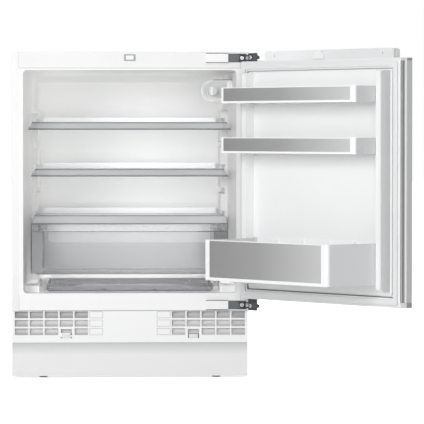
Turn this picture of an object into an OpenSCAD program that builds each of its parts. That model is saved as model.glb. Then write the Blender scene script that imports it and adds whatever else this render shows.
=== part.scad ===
/* [Cabinet] */
// Width over the side panels
cab_w = 598; // [580:1:620]
// Height of the body without the feet
cab_h = 820; // [800:1:860]
// Depth of the body without the door
cab_d = 505; // [490:1:560]
// Height that the screwed-in feet lift the body
foot_lift = 6; // [4:1:12]
// Thickness of the insulated side walls at the opening
side_wall = 29; // [27:1:34]
// Thickness of the insulated rear wall
rear_wall = 55; // [45:1:70]
// Thickness of the sheet-metal panels
sheet_t = 0.8; // [0.6:0.1:1.2]
// Width of the side panels' front strips
strip_w = 18; // [14:1:22]
// Width of the side panels' rear flanges
rear_flange_w = 15; // [10:1:25]
// Depth of the top fascia and the bottom rail
fascia_d = 22; // [18:1:30]
// Wall of the plastic fascia and rail
fascia_wall = 2.5; // [2:0.1:4]

/* [Inner liner] */
// Cabinet top down to the opening
opening_drop = 46; // [42:1:60]
// Wall of the formed liner
liner_t = 2; // [1.5:0.1:3]
// Height of the liner flange above and below the opening
flange_h = 4; // [3:0.5:8]
// Narrowing of each side wall over its front part
draft_front = 6; // [4:0.5:8]
// Narrowing of each side wall from there to the shelf columns
draft_mid = 10; // [8:0.5:12]
// Narrowing of each side wall along the shelf columns
draft_rear = 4; // [2:0.5:5]
// Depth at which the front draft ends
draft_front_d = 110; // [90:1:120]
// Fall of the ceiling from front to rear
ceiling_fall = 9; // [4:1:14]
// Height of the cove between ceiling and rear wall
cove_h = 15; // [10:1:20]
// Depth of the cove between ceiling and rear wall
cove_d = 22; // [16:1:30]
// Corner radius of the opening
opening_r = 10; // [6:1:16]
// Radius of the upright rear corners
rear_r = 14; // [8:1:18]

/* [Shelf columns] */
// Depth at which the columns begin
column_d = 200; // [196:1:220]
// Distance that the columns stand proud of the side walls
column_proud = 17; // [15:1:18]
// Height of the columns above the top groove's middle
column_over = 29; // [20:1:40]
// Number of shelf grooves in each column
groove_count = 6; // [6:1:6]
// Height of the lowest groove's middle above the liner floor
groove_low = 136; // [134:1:150]
// Distance from the opening's top to the top groove's middle
groove_free = 129; // [120:1:140]
// Height of one groove
groove_h = 16; // [14:0.5:18]
// Depth of one groove into the column
groove_deep = 11; // [10:0.5:12]
// Width of the floor rails at the front corners
floor_rail_w = 36; // [28:1:40]
// Height of the floor rails
floor_rail_h = 17; // [12:1:20]
// Depth at which the floor rails begin
floor_rail_d = 50; // [40:1:80]

/* [Shelves] */
// Thickness of the shelf glass
glass_t = 4; // [3:0.5:5]
// Depth at which the upper shelves begin
shelf_d = 112; // [108:1:130]
// Depth at which the crisper cover begins
cover_d = 150; // [140:1:170]
// Free space between the shelves and the rear wall
shelf_back_gap = 20; // [12:1:30]
// Height of the two shelves' front trims
trim_h = 20; // [14:0.5:22]
// Height of the crisper cover's front trim
cover_trim_h = 24; // [20:0.5:26]
// Depth of the front trims
trim_d = 15; // [12:0.5:18]
// Height of the trim above the glass
trim_lip = 1.8; // [1:0.1:3]
// Clearance between the upper shelf's trim and the side walls
upper_trim_gap = 2; // [1:0.5:4]
// Clearance of the lower trims and the crisper's front from the side walls
lower_trim_gap = 3; // [2:0.5:5]
// Inward slope of each trim's ends up to the glass
trim_slope = 10; // [4:1:12]
// Height of the rear stops
stop_h = 14; // [10:0.5:18]
// Depth of the rear stops
stop_d = 9; // [6:0.5:12]
// Clearance between the rear stops and the columns
stop_gap = 6; // [4:1:12]

/* [Crisper and tray] */
// Depth at which the crisper's front begins
crisper_d = 180; // [178:1:184]
// Clearance between the crisper and its cover's trim
crisper_clear = 1.1; // [0.8:0.1:4]
// Height of the crisper's rear wall
crisper_rear_h = 74; // [60:1:90]
// Height of the rim along the crisper's front
crisper_rim_h = 18; // [12:1:24]
// Distance that the rim stands out from the crisper's front
crisper_rim_out = 4; // [2:0.5:5]
// Height of the crisper's underside above the liner floor
crisper_z = 40; // [36:1:46]
// Wall of the crisper
crisper_wall = 2.5; // [2:0.1:4]
// Radius of the crisper's lower edges
crisper_r = 18; // [12:1:24]
// Clearance between the crisper and the columns
crisper_gap = 3; // [2:0.5:5]
// Clearance between the floor tray and the floor rails
tray_gap = 17.8; // [8:0.1:24]
// Height of the floor tray
tray_h = 18; // [14:1:24]
// Depth at which the floor tray begins
tray_d = 93; // [80:1:110]
// Wall of the floor tray
tray_wall = 2; // [1.5:0.1:3]
// Inward slope of the floor tray's front
tray_slope = 6; // [3:0.5:9]
// Radius of the floor tray's lower edges
tray_r = 8; // [5:0.5:12]
// Fall of the tray's front edge towards its ends
tray_arch = 9; // [4:0.5:10]
// Length over which the front edge falls
tray_arch_l = 100; // [60:5:140]

/* [Door] */
// Width of the door
door_w = 592; // [588:1:594]
// Thickness of the door
door_t = 40; // [36:1:44]
// Cabinet top down to the door's top edge
door_drop = 25; // [24:0.5:28]
// Distance that the door reaches below the opening
door_below = 12; // [10:0.5:16]
// Gap between the closed door and the cabinet front
door_gap = 5; // [4.5:0.1:7]
// Opening angle that the door stands at
door_open = 127.5; // [90:0.5:127.5]
// Depth of the outer skin's side returns
skin_return = 19; // [14:1:22]
// Wall of the door liner
door_liner_t = 2; // [1.5:0.1:3]
// Height of the top end cap
cap_top_h = 7; // [5:0.5:10]
// Height of the bottom end cap
cap_bottom_h = 13; // [8:0.5:16]
// Distance from the door's edge to the upright ridges
ridge_edge = 34; // [33:1:38]
// Width of the upright ridges
ridge_w = 20; // [14:1:22]
// Depth of the upright ridges
ridge_d = 30; // [24:1:34]
// Distance from the door's top to the ridges' upper ends
ridge_end = 30; // [26:1:50]
// Distance from the door's bottom to the ridges' lower ends
ridge_low = 39; // [26:1:50]
// Radius of the ridges' upper corners
ridge_top_r = 5; // [4:0.5:24]
// Radius of the ridges' lower corners
ridge_r = 10; // [4:0.5:24]
// Thickness of the raised panel between the ridges
plateau_t = 2.5; // [1:0.1:2.6]
// Distance from the door's edge to the channel round the liner
channel_edge = 24; // [23:0.5:26]
// Width of the channel
channel_w = 5; // [3:0.5:6]
// Depth of the channel
channel_d = 4; // [2:0.5:6]
// Depth of the two grooves along the door's sides
edge_groove = 4; // [2:0.5:5]
// Width of the gasket
gasket_w = 13; // [10:0.5:14]
// Distance from the door's edge to the gasket
gasket_edge = 7; // [6:0.5:9]
// Clearance left between gasket and cabinet
gasket_gap = 0.3; // [0.2:0.1:1]

/* [Panel rail] */
// Distance from the door's hinge edge to the rail that carries the furniture panel
rail_free = 87; // [66:1:120]
// Distance from the door's free edge to the rail
rail_edge = 28; // [20:1:40]
// Height of the rail
rail_h = 24; // [18:1:24]
// Thickness of the rail
rail_t = 20; // [14:1:24]
// Distance from the door's inner face to the rail
rail_in = 4; // [4:0.5:8]
// Wall of the rail
rail_wall = 3; // [2:0.5:5]
// Radius of the rail's upper corners
rail_r = 8; // [4:1:12]
// Radius of the panel screw holes
rail_hole_r = 2.25; // [1.5:0.25:3]
// Distance between the panel screw holes
rail_hole_pitch = 400; // [340:1:420]
// Radius of the half-round lug that works the light switch
lug_r = 21; // [18:0.5:22]
// Thickness of the lug
lug_t = 5; // [3:0.1:5]

/* [Door bins] */
// Height of the bottom bin's underside above the door's lower edge
bottom_bin_rise = 54; // [50:1:70]
// Door's upper edge down to the underside of the middle bin
middle_bin_drop = 230; // [200:1:260]
// Door's upper edge down to the underside of the top bin
top_bin_drop = 106; // [100:1:120]
// Heights of the bins
bin_h = [100, 39, 39]; // [20:1:140]
// Reach of the bins from the door's inner face
bin_reach = [174, 107, 107]; // [60:1:176]
// Widening of each bin's ends from the ridges to its front
bin_flare = [-11.5, 9, 9]; // [-20:0.5:10]
// Radius of the bins' upright front corners
bin_r = [6, 7, 7]; // [3:0.5:12]
// Height by which the bottom bin's rear wall stands above its front
bin_rear_rise = 4; // [0:0.5:6]
// Number of dividing ribs in the bottom bin
divider_count = 4; // [3:1:7]
// How far these ribs stand out from the rear wall
divider_reach = 24; // [8:1:40]
// Their tops below the rear wall
divider_low = 3; // [0:0.5:20]
// Wall of the bins
bin_wall = 2.5; // [2:0.1:4]
// Clearance between the bins and the ridges
bin_gap = 1.5; // [1:0.1:3]
// Thickness of the metal trims
metal_t = 1; // [0.6:0.1:1.5]
// Width of the frame beside the metal trims
frame_w = [20, 13, 13]; // [8:0.5:24]
// Height of the frame under the metal trims
frame_low = [7.5, 5, 5]; // [3:0.5:10]
// Height of the frame over the metal trims
frame_top = 2; // [1:0.5:4]

/* [Hinges] */
// Distance of the swing axis from the cabinet's outer face
swing_in = 6.8; // [6:0.1:9]
// Distance of the swing axis in front of the cabinet
swing_out = 16.2; // [15:0.1:18]
// Height of the top hinge's middle below the cabinet top
hinge_drop = 15.2; // [15:0.1:16]
// Height of the bottom hinge's middle below the door
hinge_below = 18; // [14:0.5:19]
// Height of the hinge plates
hinge_h = 22; // [20:0.5:22]
// Thickness of the hinge plates
hinge_plate_t = 1.8; // [1.5:0.1:2]
// Length of the hinge plates
hinge_l = 98; // [90:1:110]
// Length of the hinge covers
cover_l = 56; // [48:1:60]
// Thickness of the hinge covers over the plate
cover_t = 4.5; // [3.5:0.1:4.6]
// Thickness of each link
link_t = 3.1; // [2.5:0.1:3.2]
// Half the width of each link
link_r = 4; // [3.5:0.1:4.2]
// Radius of the hinge pins
pin_r = 2; // [1.5:0.1:2.2]
// Running clearance between the stacked hinge plates
stack_gap = 0.4; // [0.3:0.05:0.6]
// Half the thickness of the door's hinge tongue
tongue_half = 3.8; // [3:0.1:4]
// Thickness of the fork's ears
ear_t = 1.8; // [1.5:0.1:2]
// Distance from the swing axis to the outer link's door pin
outer_pin = 24; // [22:0.5:26]
// Distance from the swing axis back to the outer link's cabinet pin
outer_back = 9; // [7:0.5:10]
// Direction of the outer link's door pin with the door closed
outer_angle = 140; // [136:1:144]
// Distance from the swing axis to the inner link's door pin
inner_pin = 17; // [15:0.5:18]
// Distance from the swing axis back to the inner link's cabinet pin
inner_back = 16; // [14:0.5:16]
// Direction of the inner link's door pin with the door closed
inner_angle = 100; // [96:1:104]

/* [Lamp and controls] */
// Width of the lamp housing
lamp_w = 80; // [70:1:90]
// Height of the lamp housing
lamp_h = 58; // [50:1:64]
// Depth at which the lamp housing begins
lamp_d = 116; // [114:1:130]
// Depth of the lamp housing itself
lamp_deep = 46; // [36:1:56]
// Opening's top down to the lamp housing
lamp_drop = 22; // [16:1:30]
// Wall of the lamp housing
lamp_wall = 2; // [1.5:0.1:3]
// Radius of the thermostat knob
knob_r = 11; // [8:0.5:13]
// Height of the thermostat knob
knob_h = 10; // [6:0.5:12]
// Width of the light switch's button
button_w = 19; // [14:0.5:22]
// Height of the light switch's button
button_h = 10.5; // [8:0.5:13]
// Distance that the button stands out
button_out = 3.5; // [2:0.1:3.6]
// Travel of the button
button_travel = 3; // [2:0.1:3]

/* [Ventilation] */
// Height of the vent grille
grille_h = 81; // [76:1:84]
// Depth of the vent grille
grille_d = 14; // [10:1:16]
// Plate thickness of the vent grille
grille_t = 2.5; // [2:0.1:4]
// Height of the bottom rail's front
rail_front_h = 40; // [36:1:46]
// Width of one air cell
cell_w = 34; // [28:0.5:35]
// Distance from cell to cell across
cell_pitch = 37.8; // [36:0.1:38]
// Height of one air cell
cell_h = 17; // [14:0.1:19]
// Distance from cell to cell upwards
cell_rise = 21.4; // [20:0.1:22]
// Columns of open cells on each side
cell_cols = 5; // [3:1:5]
// Rows of cells
cell_rows = 3; // [2:1:3]
// Distance of the plinth behind the grille's face
plinth_back = 3; // [1:0.5:8]
// Gap under the plinth
plinth_gap = 5; // [4:0.5:8]
// Thickness of the plinth panel
plinth_t = 2; // [1.5:0.1:4]

/* [Base and feet] */
// Thickness of the base pan
pan_t = 1.2; // [0.8:0.1:2]
// Height of the base pan's rear wall
pan_rear_h = 62; // [50:1:80]
// Height of the base pan's side walls
pan_side_h = 30; // [20:1:60]
// Radius of the feet
foot_r = 10.5; // [9:0.5:14]
// Height of the foot disc
foot_disc = 5; // [3:0.5:5]
// Radius of the foot stems
stem_r = 5; // [4:0.5:6]
// Length of the foot stems
stem_l = 72; // [60:1:80]
// Distance of the feet from the cabinet's sides
foot_side = 79; // [70:1:90]
// Distance of the feet from the cabinet's front and back
foot_end = 42; // [36:1:60]

/* [Cooling unit] */
// Radius of the compressor shell
comp_r = 70; // [60:1:74]
// Height of the compressor shell
comp_h = 116; // [100:1:118]
// Wall of the compressor shell
comp_wall = 3; // [2.5:0.1:4]
// Height of the rubber mounts
grommet_h = 10; // [6:0.5:12]
// Radius of the rubber mounts
grommet_r = 11; // [8:0.5:14]
// Radius of the fan opening
fan_r = 50; // [44:1:51]
// Height left over the compressor for the evaporation tray
comp_free = 30.8; // [24:0.1:40]
// Distance of the compressor's axis from the cabinet's right side
comp_side = 171; // [165:1:180]
// Distance of the compressor's axis from the cabinet's back
comp_end = 144.5; // [135:0.5:160]
// Distance of the fan shroud's ends from the cabinet's front and back
shroud_end = [102, 52]; // [40:1:140]
// Length of the fan motor
motor_l = 26; // [20:1:32]
// Radius of the fan motor
motor_r = 19; // [15:0.5:22]
// Length of the fan's hub
hub_l = 12; // [8:0.5:16]
// Number of fan blades
blade_count = 7; // [5:1:9]
// Radius of the condenser tube
coil_r = 2.5; // [2:0.5:3]
// Layers of the condenser
coil_layers = 3; // [2:1:3]
// Runs in each layer of the condenser
coil_runs = 5; // [3:2:5]
// Distance from layer to layer
coil_rise = 34; // [30:1:36]
// Distance of the condenser's outer run from the cabinet's left side
coil_side = 49; // [45:1:60]
// Distance of the condenser's inner run from the fan shroud
coil_inner = 74; // [64:1:90]
// Distances of the condenser from the cabinet's front and back
coil_end = [72, 62]; // [60:1:100]
// Evaporator's distance inside the liner's rear corners
evap_side = 60; // [40:1:80]
// Heights left free under and above the evaporator
evap_free = [115, 140]; // [90:5:160]

/* [Hidden] */
$fn = 48;
eps = 0.5;
seat_gap = 0.3;
foam_gap = 0.2;
pan_lift = 4;

half_w = cab_w / 2;
front = -cab_d / 2;
back = cab_d / 2;
top_z = foot_lift + cab_h;
open_half = half_w - side_wall;
open_top = top_z - opening_drop;
pan_z = foot_lift + pan_lift;
pan_top = pan_z + pan_t;
comp_z = pan_top + grommet_h + comp_wall;
grille_z1 = comp_z + comp_h + comp_free;
grille_z0 = grille_z1 - grille_h;
rail_z1 = grille_z1 + rail_front_h;
floor_z = rail_z1 + flange_h;
opening_h = open_top - floor_z;
inner_half = half_w - sheet_t;
fascia_half = half_w - strip_w;

liner_back = back - rear_wall;
mid_half = open_half - draft_front;
column_half = mid_half - draft_mid;
rear_half = column_half - draft_rear;
column_in = column_half - column_proud;
groove_half = column_in + groove_deep;
groove_top = opening_h - groove_free;
groove_pitch = (groove_top - groove_low) / (groove_count - 1);
column_h = groove_top + column_over;
glass_half = groove_half - 2;
shelf_back = liner_back - shelf_back_gap;

swing_x = half_w - swing_in;
swing_y = front - swing_out;
door_x1 = door_w / 2;
door_z1 = top_z - door_drop;
door_z0 = floor_z - door_below;
door_h = door_z1 - door_z0;
bin_z = [bottom_bin_rise, door_h - middle_bin_drop, door_h - top_bin_drop];
door_in = front - door_gap;
door_out = door_in - door_t;
ridge_out = door_x1 - ridge_edge;
ridge_in = ridge_out - ridge_w;
ridge_z0 = door_z0 + ridge_low;
ridge_z1 = door_z1 - ridge_end;
bin_half = ridge_in - bin_gap;
hinge_top_z = top_z - hinge_drop;
hinge_bottom_z = door_z0 - hinge_below;
hinge_x1 = half_w - 5;

evap_half = rear_half - evap_side;
evap_z0 = floor_z + evap_free[0];
evap_z1 = open_top - evap_free[1];
evap_t = 1.6;
comp_x = half_w - comp_side;
comp_y = back - comp_end;
line_r = 3;
drain_x = comp_x;
drain_y = liner_back - 14;
drain_wall = 1.5;
line_x = comp_x + 30;
line_y = liner_back + liner_t + evap_t + 2 * line_r + 2 * foam_gap + 0.1;
shroud_y0 = front + shroud_end[0];
shroud_y1 = back - shroud_end[1];
fan_y = (shroud_y0 + shroud_y1) / 2;
fan_z = (pan_top + grille_z1 - sheet_t) / 2;
coil_x0 = coil_side - half_w;
coil_step = (-coil_inner - coil_x0) / (coil_runs - 1);
coil_y0 = front + coil_end[0];
coil_y1 = back - coil_end[1];

// Height of the middle of groove i, counted from the top
function groove_z(i) = floor_z + groove_top - i * groove_pitch;
// Underside of a shelf that lies in groove i
function shelf_z(i) = groove_z(i) - groove_h / 2 + seat_gap;
// Half the width between the side walls at depth d
function wall_half(d) = d < draft_front_d
  ? open_half - draft_front * d / draft_front_d
  : mid_half - draft_mid * (d - draft_front_d) / (column_d - draft_front_d);
function arc(c, r, a0, a1, n = 6) =
  [for (i = [0:n]) c + r * [cos(a0 + (a1 - a0) * i / n), sin(a0 + (a1 - a0) * i / n)]];
function flipped(pts) = [for (i = [len(pts) - 1:-1:0]) [-pts[i].x, pts[i].y]];
function unit(v) = v / norm(v);
// Point on the swing circle of radius r in the closed door's plan, angle a from the right
function on_swing(r, a) = [swing_x + r * cos(a), swing_y - r * sin(a)];
// Length of a link whose cabinet pin lies back behind the swing axis
function link_length(back_r, pin) =
  sqrt(back_r * back_r + pin * pin + 2 * back_r * pin * cos(door_open / 2));
function link_pivot(back_r, a) = on_swing(-back_r, a - door_open / 2);

module box(x0, x1, y0, y1, z0, z1) {
  translate([x0, y0, z0])
    cube([x1 - x0, y1 - y0, z1 - z0]);
}
// Outline drawn in X and Z, extruded from y0 to y1
module across(y0, y1) {
  translate([0, y1, 0])
    rotate([90, 0, 0])
      linear_extrude(y1 - y0)
        children();
}
// Outline drawn in Y and Z, extruded from x0 to x1
module along(x0, x1) {
  translate([x0, 0, 0])
    rotate([90, 0, 90])
      linear_extrude(x1 - x0)
        children();
}
// Outline drawn in X and Y, extruded from z0 to z1
module upright(z0, z1) {
  translate([0, 0, z0])
    linear_extrude(z1 - z0)
      children();
}
module rounded(x0, x1, y0, y1, r) {
  polygon(concat(arc([x1 - r, y1 - r], r, 0, 90), arc([x0 + r, y1 - r], r, 90, 180),
    arc([x0 + r, y0 + r], r, 180, 270), arc([x1 - r, y0 + r], r, 270, 360)));
}
// Rectangle with round lower corners
module bowl(x0, x1, z0, z1, r) {
  polygon(concat([[x1, z1], [x0, z1]], arc([x0 + r, z0 + r], r, 180, 270),
    arc([x1 - r, z0 + r], r, 270, 360)));
}
module both_sides() {
  children();
  mirror([1, 0, 0])
    children();
}

// Corner b of a route a, b, c, rounded with radius r
function bend(a, b, c, r, n) = let (u = unit(a - b), w = unit(c - b), h = acos(u * w) / 2,
  m = b + unit(u + w) * r / sin(h), e = unit(b + u * r / tan(h) - m),
  f = unit(b + w * r / tan(h) - m), s = 180 - 2 * h)
  [for (i = [0:n]) m + r * (sin(s * (1 - i / n)) * e + sin(s * i / n) * f) / sin(s)];
function rounded_route(p, r, n) = concat([p[0]],
  [for (i = [1:len(p) - 2]) each bend(p[i - 1], p[i], p[i + 1], r, n)], [p[len(p) - 1]]);
function heading(p, i) = unit(p[min(i + 1, len(p) - 1)] - p[max(i - 1, 0)]);
function carry(p, i, v) = i == len(p) ? []
  : let (t = heading(p, i), w = unit(v - (v * t) * t)) concat([w], carry(p, i + 1, w));
// Tube of radius r swept along the points of a route
module tube(p, r, start, sides = 8) {
  side = carry(p, 0, start);
  n = len(p);
  points = [for (i = [0:n - 1]) for (k = [0:sides - 1]) let (t = heading(p, i), a = 360 * k / sides)
    p[i] + r * (cos(a) * side[i] + sin(a) * cross(t, side[i]))];
  walls = [for (i = [0:n - 2]) for (k = [0:sides - 1]) let (a = i * sides + k,
    b = i * sides + (k + 1) % sides) each [[a, a + sides, b + sides], [a, b + sides, b]]];
  polyhedron(points, concat(walls, [[for (k = [0:sides - 1]) k]],
    [[for (k = [sides - 1:-1:0]) (n - 1) * sides + k]]));
}

module side_panel() {
  color("gainsboro") {
    box(inner_half, half_w, front, back, grille_z1, top_z);
    box(fascia_half, half_w, front, front + sheet_t, grille_z1, top_z);
    box(fascia_half, fascia_half + sheet_t, front, front + fascia_d / 2, grille_z1, top_z);
    box(inner_half, half_w, front + grille_d + 1, back, foot_lift, grille_z1 + eps);
    box(half_w - rear_flange_w, half_w, back - sheet_t, back, foot_lift, top_z);
  }
}
module left_side() {
  mirror([1, 0, 0])
    side_panel();
}
module right_side() {
  side_panel();
}
module top_panel() {
  color("gainsboro") {
    box(-inner_half, inner_half, front + fascia_d, back - sheet_t, top_z - sheet_t, top_z);
    box(-inner_half, inner_half, back - 2 * sheet_t, back - sheet_t, top_z - rear_flange_w, top_z);
  }
}
module rear_panel() {
  y1 = back - 2 * sheet_t;
  color("silver")
    difference() {
      union() {
        box(-inner_half, inner_half, y1 - sheet_t, y1, grille_z1 - sheet_t, top_z - sheet_t);
        box(-inner_half, inner_half, front + fascia_d, y1, grille_z1 - sheet_t, grille_z1);
      }
      line_shaft(grille_z1 - 2 * sheet_t, grille_z1 + 1);
      drain_shaft(grille_z1 - 2 * sheet_t, grille_z1 + 1);
    }
}
// Ways for the suction line and for the drain tube between heights z0 and z1
module line_shaft(z0, z1) {
  w = line_r + 2;
  box(line_x - w, line_x + w, line_y - w, line_y + w, z0, z1);
}
module drain_shaft(z0, z1) {
  translate([drain_x, drain_y, z0])
    cylinder(h = z1 - z0, r = drain_r + drain_wall + foam_gap);
}
module sleeve_places() {
  for (x = [-1, 1])
    for (y = [-1, 1])
      translate([x * (half_w - foot_side), y * (back - foot_end), 0])
        children();
}
sleeve_wall = 3;
sleeve_h = 30;
module base_pan() {
  y0 = front + grille_d + 4;
  y1 = back - sheet_t;
  color("silver")
    difference() {
      union() {
        box(-inner_half, inner_half, y0, y1, pan_z, pan_top);
        box(-inner_half, inner_half, y1 - pan_t, y1, pan_z, pan_z + pan_rear_h);
        box(-inner_half, inner_half, y0, y0 + pan_t, pan_z, pan_z + pan_side_h);
        both_sides()
          box(inner_half - pan_t, inner_half, y0, y1, pan_z, pan_z + pan_side_h);
        sleeve_places()
          translate([0, 0, pan_z])
            cylinder(h = sleeve_h, r = stem_r + seat_gap + sleeve_wall);
      }
      sleeve_places()
        translate([0, 0, pan_z - eps])
          cylinder(h = sleeve_h + 2 * eps, r = stem_r + seat_gap);
      box(inlet_x - 12, inlet_x + 12, y1 - 2 * pan_t, y1 + 1, pan_top + 8, pan_top + 24);
    }
}

// Cavity of the liner, larger by g all round and open in front from y0
module liner_form(g, y0) {
  plan = concat([[open_half + g, y0], [open_half + g, front],
    [mid_half + g, front + draft_front_d], [column_half + g, front + column_d]],
    arc([rear_half + g - rear_r, liner_back + g - rear_r], rear_r, 0, 90));
  side = concat([[y0, floor_z - g], [y0, open_top + g], [front, open_top + g],
    [liner_back + g - cove_d, open_top - ceiling_fall + g],
    [liner_back + g, open_top - ceiling_fall - cove_h + g]],
    arc([liner_back + g - rear_r, floor_z - g + rear_r], rear_r, 0, -90));
  intersection() {
    upright(floor_z - g - 1, open_top + g + 1)
      polygon(concat(plan, flipped(plan)));
    along(-open_half - g - 1, open_half + g + 1)
      polygon(side);
    across(y0, liner_back + g + 1)
      rounded(-open_half - g, open_half + g, floor_z - g, open_top + g, opening_r + g);
  }
}
module shelf_column() {
  y0 = front + column_d;
  z1 = floor_z + column_h;
  difference() {
    along(column_in, open_half)
      polygon(concat([[liner_back + 1, z1]], arc([y0 + rear_r, z1 - rear_r], rear_r, 90, 180),
        [[y0, floor_z - 1], [liner_back + 1, floor_z - 1]]));
    for (i = [0:groove_count - 1])
      box(column_in - 1, groove_half, y0 - 1, liner_back - shelf_back_gap / 2,
        groove_z(i) - groove_h / 2, groove_z(i) + groove_h / 2);
  }
}
module floor_rail() {
  x0 = wall_half(floor_rail_d) - floor_rail_w;
  box(x0, open_half, front + floor_rail_d, front + column_d + 1, floor_z - 1, floor_z + floor_rail_h);
}
drain_r = 5;
module inner_liner() {
  color("whitesmoke")
    difference() {
      union() {
        liner_form(liner_t, front);
        across(front, front + liner_t)
          rounded(-fascia_half, fascia_half, rail_z1, open_top + flange_h, 1);
      }
      difference() {
        liner_form(0, front - 1);
        both_sides() {
          shelf_column();
          floor_rail();
        }
      }
      translate([drain_x, drain_y, floor_z - 2 * liner_t])
        cylinder(h = 3 * liner_t, r = drain_r);
    }
}
module foam_insulation() {
  g = liner_t + foam_gap;
  color("khaki")
    difference() {
      box(-inner_half + foam_gap, inner_half - foam_gap, front + fascia_d + 1,
        back - 3 * sheet_t - foam_gap, grille_z1 + foam_gap, top_z - sheet_t - foam_gap);
      liner_form(g, front);
      evaporator_form(foam_gap);
      drain_shaft(grille_z1 - 1, floor_z);
      line_shaft(grille_z1 - 1, evap_z0 + 40);
    }
}
worktop_hole_x = 200;
worktop_hole_d = 12;
worktop_hole_r = 2.75;
module top_fascia() {
  z0 = open_top + flange_h;
  color("white")
    difference() {
      box(-fascia_half, fascia_half, front, front + fascia_d, z0, top_z);
      box(-fascia_half + fascia_wall, fascia_half - fascia_wall, front + fascia_wall,
        front + fascia_d + 1, z0 + fascia_wall, top_z - fascia_wall);
      switch_hole(seat_gap);
      both_sides()
        translate([worktop_hole_x, front + worktop_hole_d, top_z - 2 * fascia_wall])
          cylinder(h = 3 * fascia_wall, r = worktop_hole_r);
    }
}
module bottom_rail() {
  color("white")
    difference() {
      box(-fascia_half, fascia_half, front, front + fascia_d, grille_z1, rail_z1);
      box(-fascia_half + fascia_wall, fascia_half - fascia_wall, front + fascia_wall,
        front + fascia_d + 1, grille_z1 + fascia_wall, rail_z1 - fascia_wall);
    }
}
module evaporator_form(g) {
  y0 = liner_back + liner_t + foam_gap;
  box(-evap_half - g, evap_half + g, y0 - foam_gap, y0 + evap_t + g, evap_z0 - g, evap_z1 + g);
  for (i = [0:5])
    translate([0, y0 + evap_t, evap_z0 + 30 + i * 50])
      rotate([0, 90, 0])
        translate([0, 0, -evap_half + 20])
          cylinder(h = 2 * evap_half - 40, r = line_r + g);
}
module evaporator_plate() {
  color("lightsteelblue")
    intersection() {
      evaporator_form(0);
      box(-evap_half, evap_half, liner_back + liner_t + foam_gap, back, evap_z0, evap_z1);
    }
}
module drain_tube() {
  z0 = comp_z + comp_h + 12;
  color("dimgray")
    translate([drain_x, drain_y, z0])
      difference() {
        cylinder(h = floor_z - liner_t - foam_gap - z0, r = drain_r + drain_wall);
        translate([0, 0, -1])
          cylinder(h = floor_z, r = drain_r);
      }
}

lamp_z1 = open_top - lamp_drop;
lamp_z0 = lamp_z1 - lamp_h;
lamp_x0 = column_half - lamp_w + 10;
lamp_y = front + lamp_d;
knob_x = lamp_x0 + lamp_h / 2;
knob_z = (lamp_z0 + lamp_z1) / 2;
// Lamp outline with a round left end, smaller by g
module lamp_outline(g) {
  r = lamp_h / 2 - g;
  polygon(concat([[open_half, lamp_z0 + g], [open_half, lamp_z1 - g]],
    arc([knob_x, knob_z], r, 90, 270, 12)));
}
lamp_rim = 11;
lamp_bevel = 7;
// Section of the rim, u across from the middle line and v back from the front
module lamp_rim_section(r) {
  polygon([[r - lamp_rim, lamp_bevel], [r - lamp_wall, 0], [r, lamp_wall], [r, lamp_bevel + lamp_wall],
    [r - lamp_rim, lamp_bevel + lamp_wall]]);
}
module lamp_housing() {
  r = lamp_h / 2;
  color("white")
    intersection() {
      difference() {
        union() {
          difference() {
            across(lamp_y + lamp_wall, lamp_y + lamp_deep)
              lamp_outline(0);
            across(lamp_y - 1, lamp_y + lamp_deep - lamp_wall)
              lamp_inside(0);
          }
          translate([knob_x, lamp_y, knob_z]) {
            rotate([-90, 0, 0])
              rotate([0, 0, 90])
                rotate_extrude(angle = 180)
                  lamp_rim_section(r);
            for (side = [0, 1])
              mirror([0, 0, side])
                rotate([90, 0, 90])
                  linear_extrude(lamp_w)
                    mirror([1, -1])
                      lamp_rim_section(r);
          }
        }
        translate([knob_x, lamp_y + lamp_deep, knob_z])
          rotate([90, 0, 0])
            cylinder(h = 3 * lamp_wall, r = pin_r + seat_gap, center = true);
      }
      liner_form(-foam_gap, front);
    }
}
// Hollow of the lamp housing, smaller by g
module lamp_inside(g) {
  intersection() {
    lamp_outline(lamp_wall + g);
    translate([lamp_x0, lamp_z0])
      square([column_half - lamp_x0 - 2 * lamp_wall - g, lamp_h]);
  }
}
module lamp_lens() {
  y0 = lamp_y + lamp_bevel + lamp_wall + foam_gap;
  color("aliceblue", 0.6)
    difference() {
      across(y0, y0 + lamp_wall)
        lamp_inside(foam_gap);
      translate([knob_x, lamp_y, knob_z])
        rotate([-90, 0, 0])
          cylinder(h = lamp_deep, r = knob_r + seat_gap);
    }
}
module lamp_board() {
  y1 = lamp_y + lamp_deep - lamp_wall - foam_gap;
  x0 = knob_x + 8;
  color("honeydew") {
    box(x0, x0 + 28, y1 - 1.6, y1, lamp_z0 + 12, lamp_z1 - 12);
    for (i = [0:2])
      box(x0 + 11, x0 + 16, y1 - 3.2, y1 - 1.6, lamp_z0 + 17 + i * 10, lamp_z0 + 22 + i * 10);
  }
}
module thermostat_knob() {
  color("white")
    translate([knob_x, lamp_y - knob_h + 2 * lamp_wall, knob_z])
      rotate([-90, 0, 0]) {
        difference() {
          cylinder(h = knob_h, r = knob_r);
          translate([-1, -knob_r - 1, -eps])
            cube([2, knob_r * 0.7, 1 + eps]);
        }
        cylinder(h = knob_h + lamp_deep - 2 * lamp_wall - 1, r = pin_r);
      }
}
switch_z = top_z - 14.5;
module switch_hole(g) {
  box(-button_w / 2 - 5 - g, button_w / 2 + 5 + g, front - 1, front + fascia_wall + 1,
    switch_z - button_h / 2 - 3 - g, switch_z + button_h / 2 + 3 + g);
}
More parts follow.
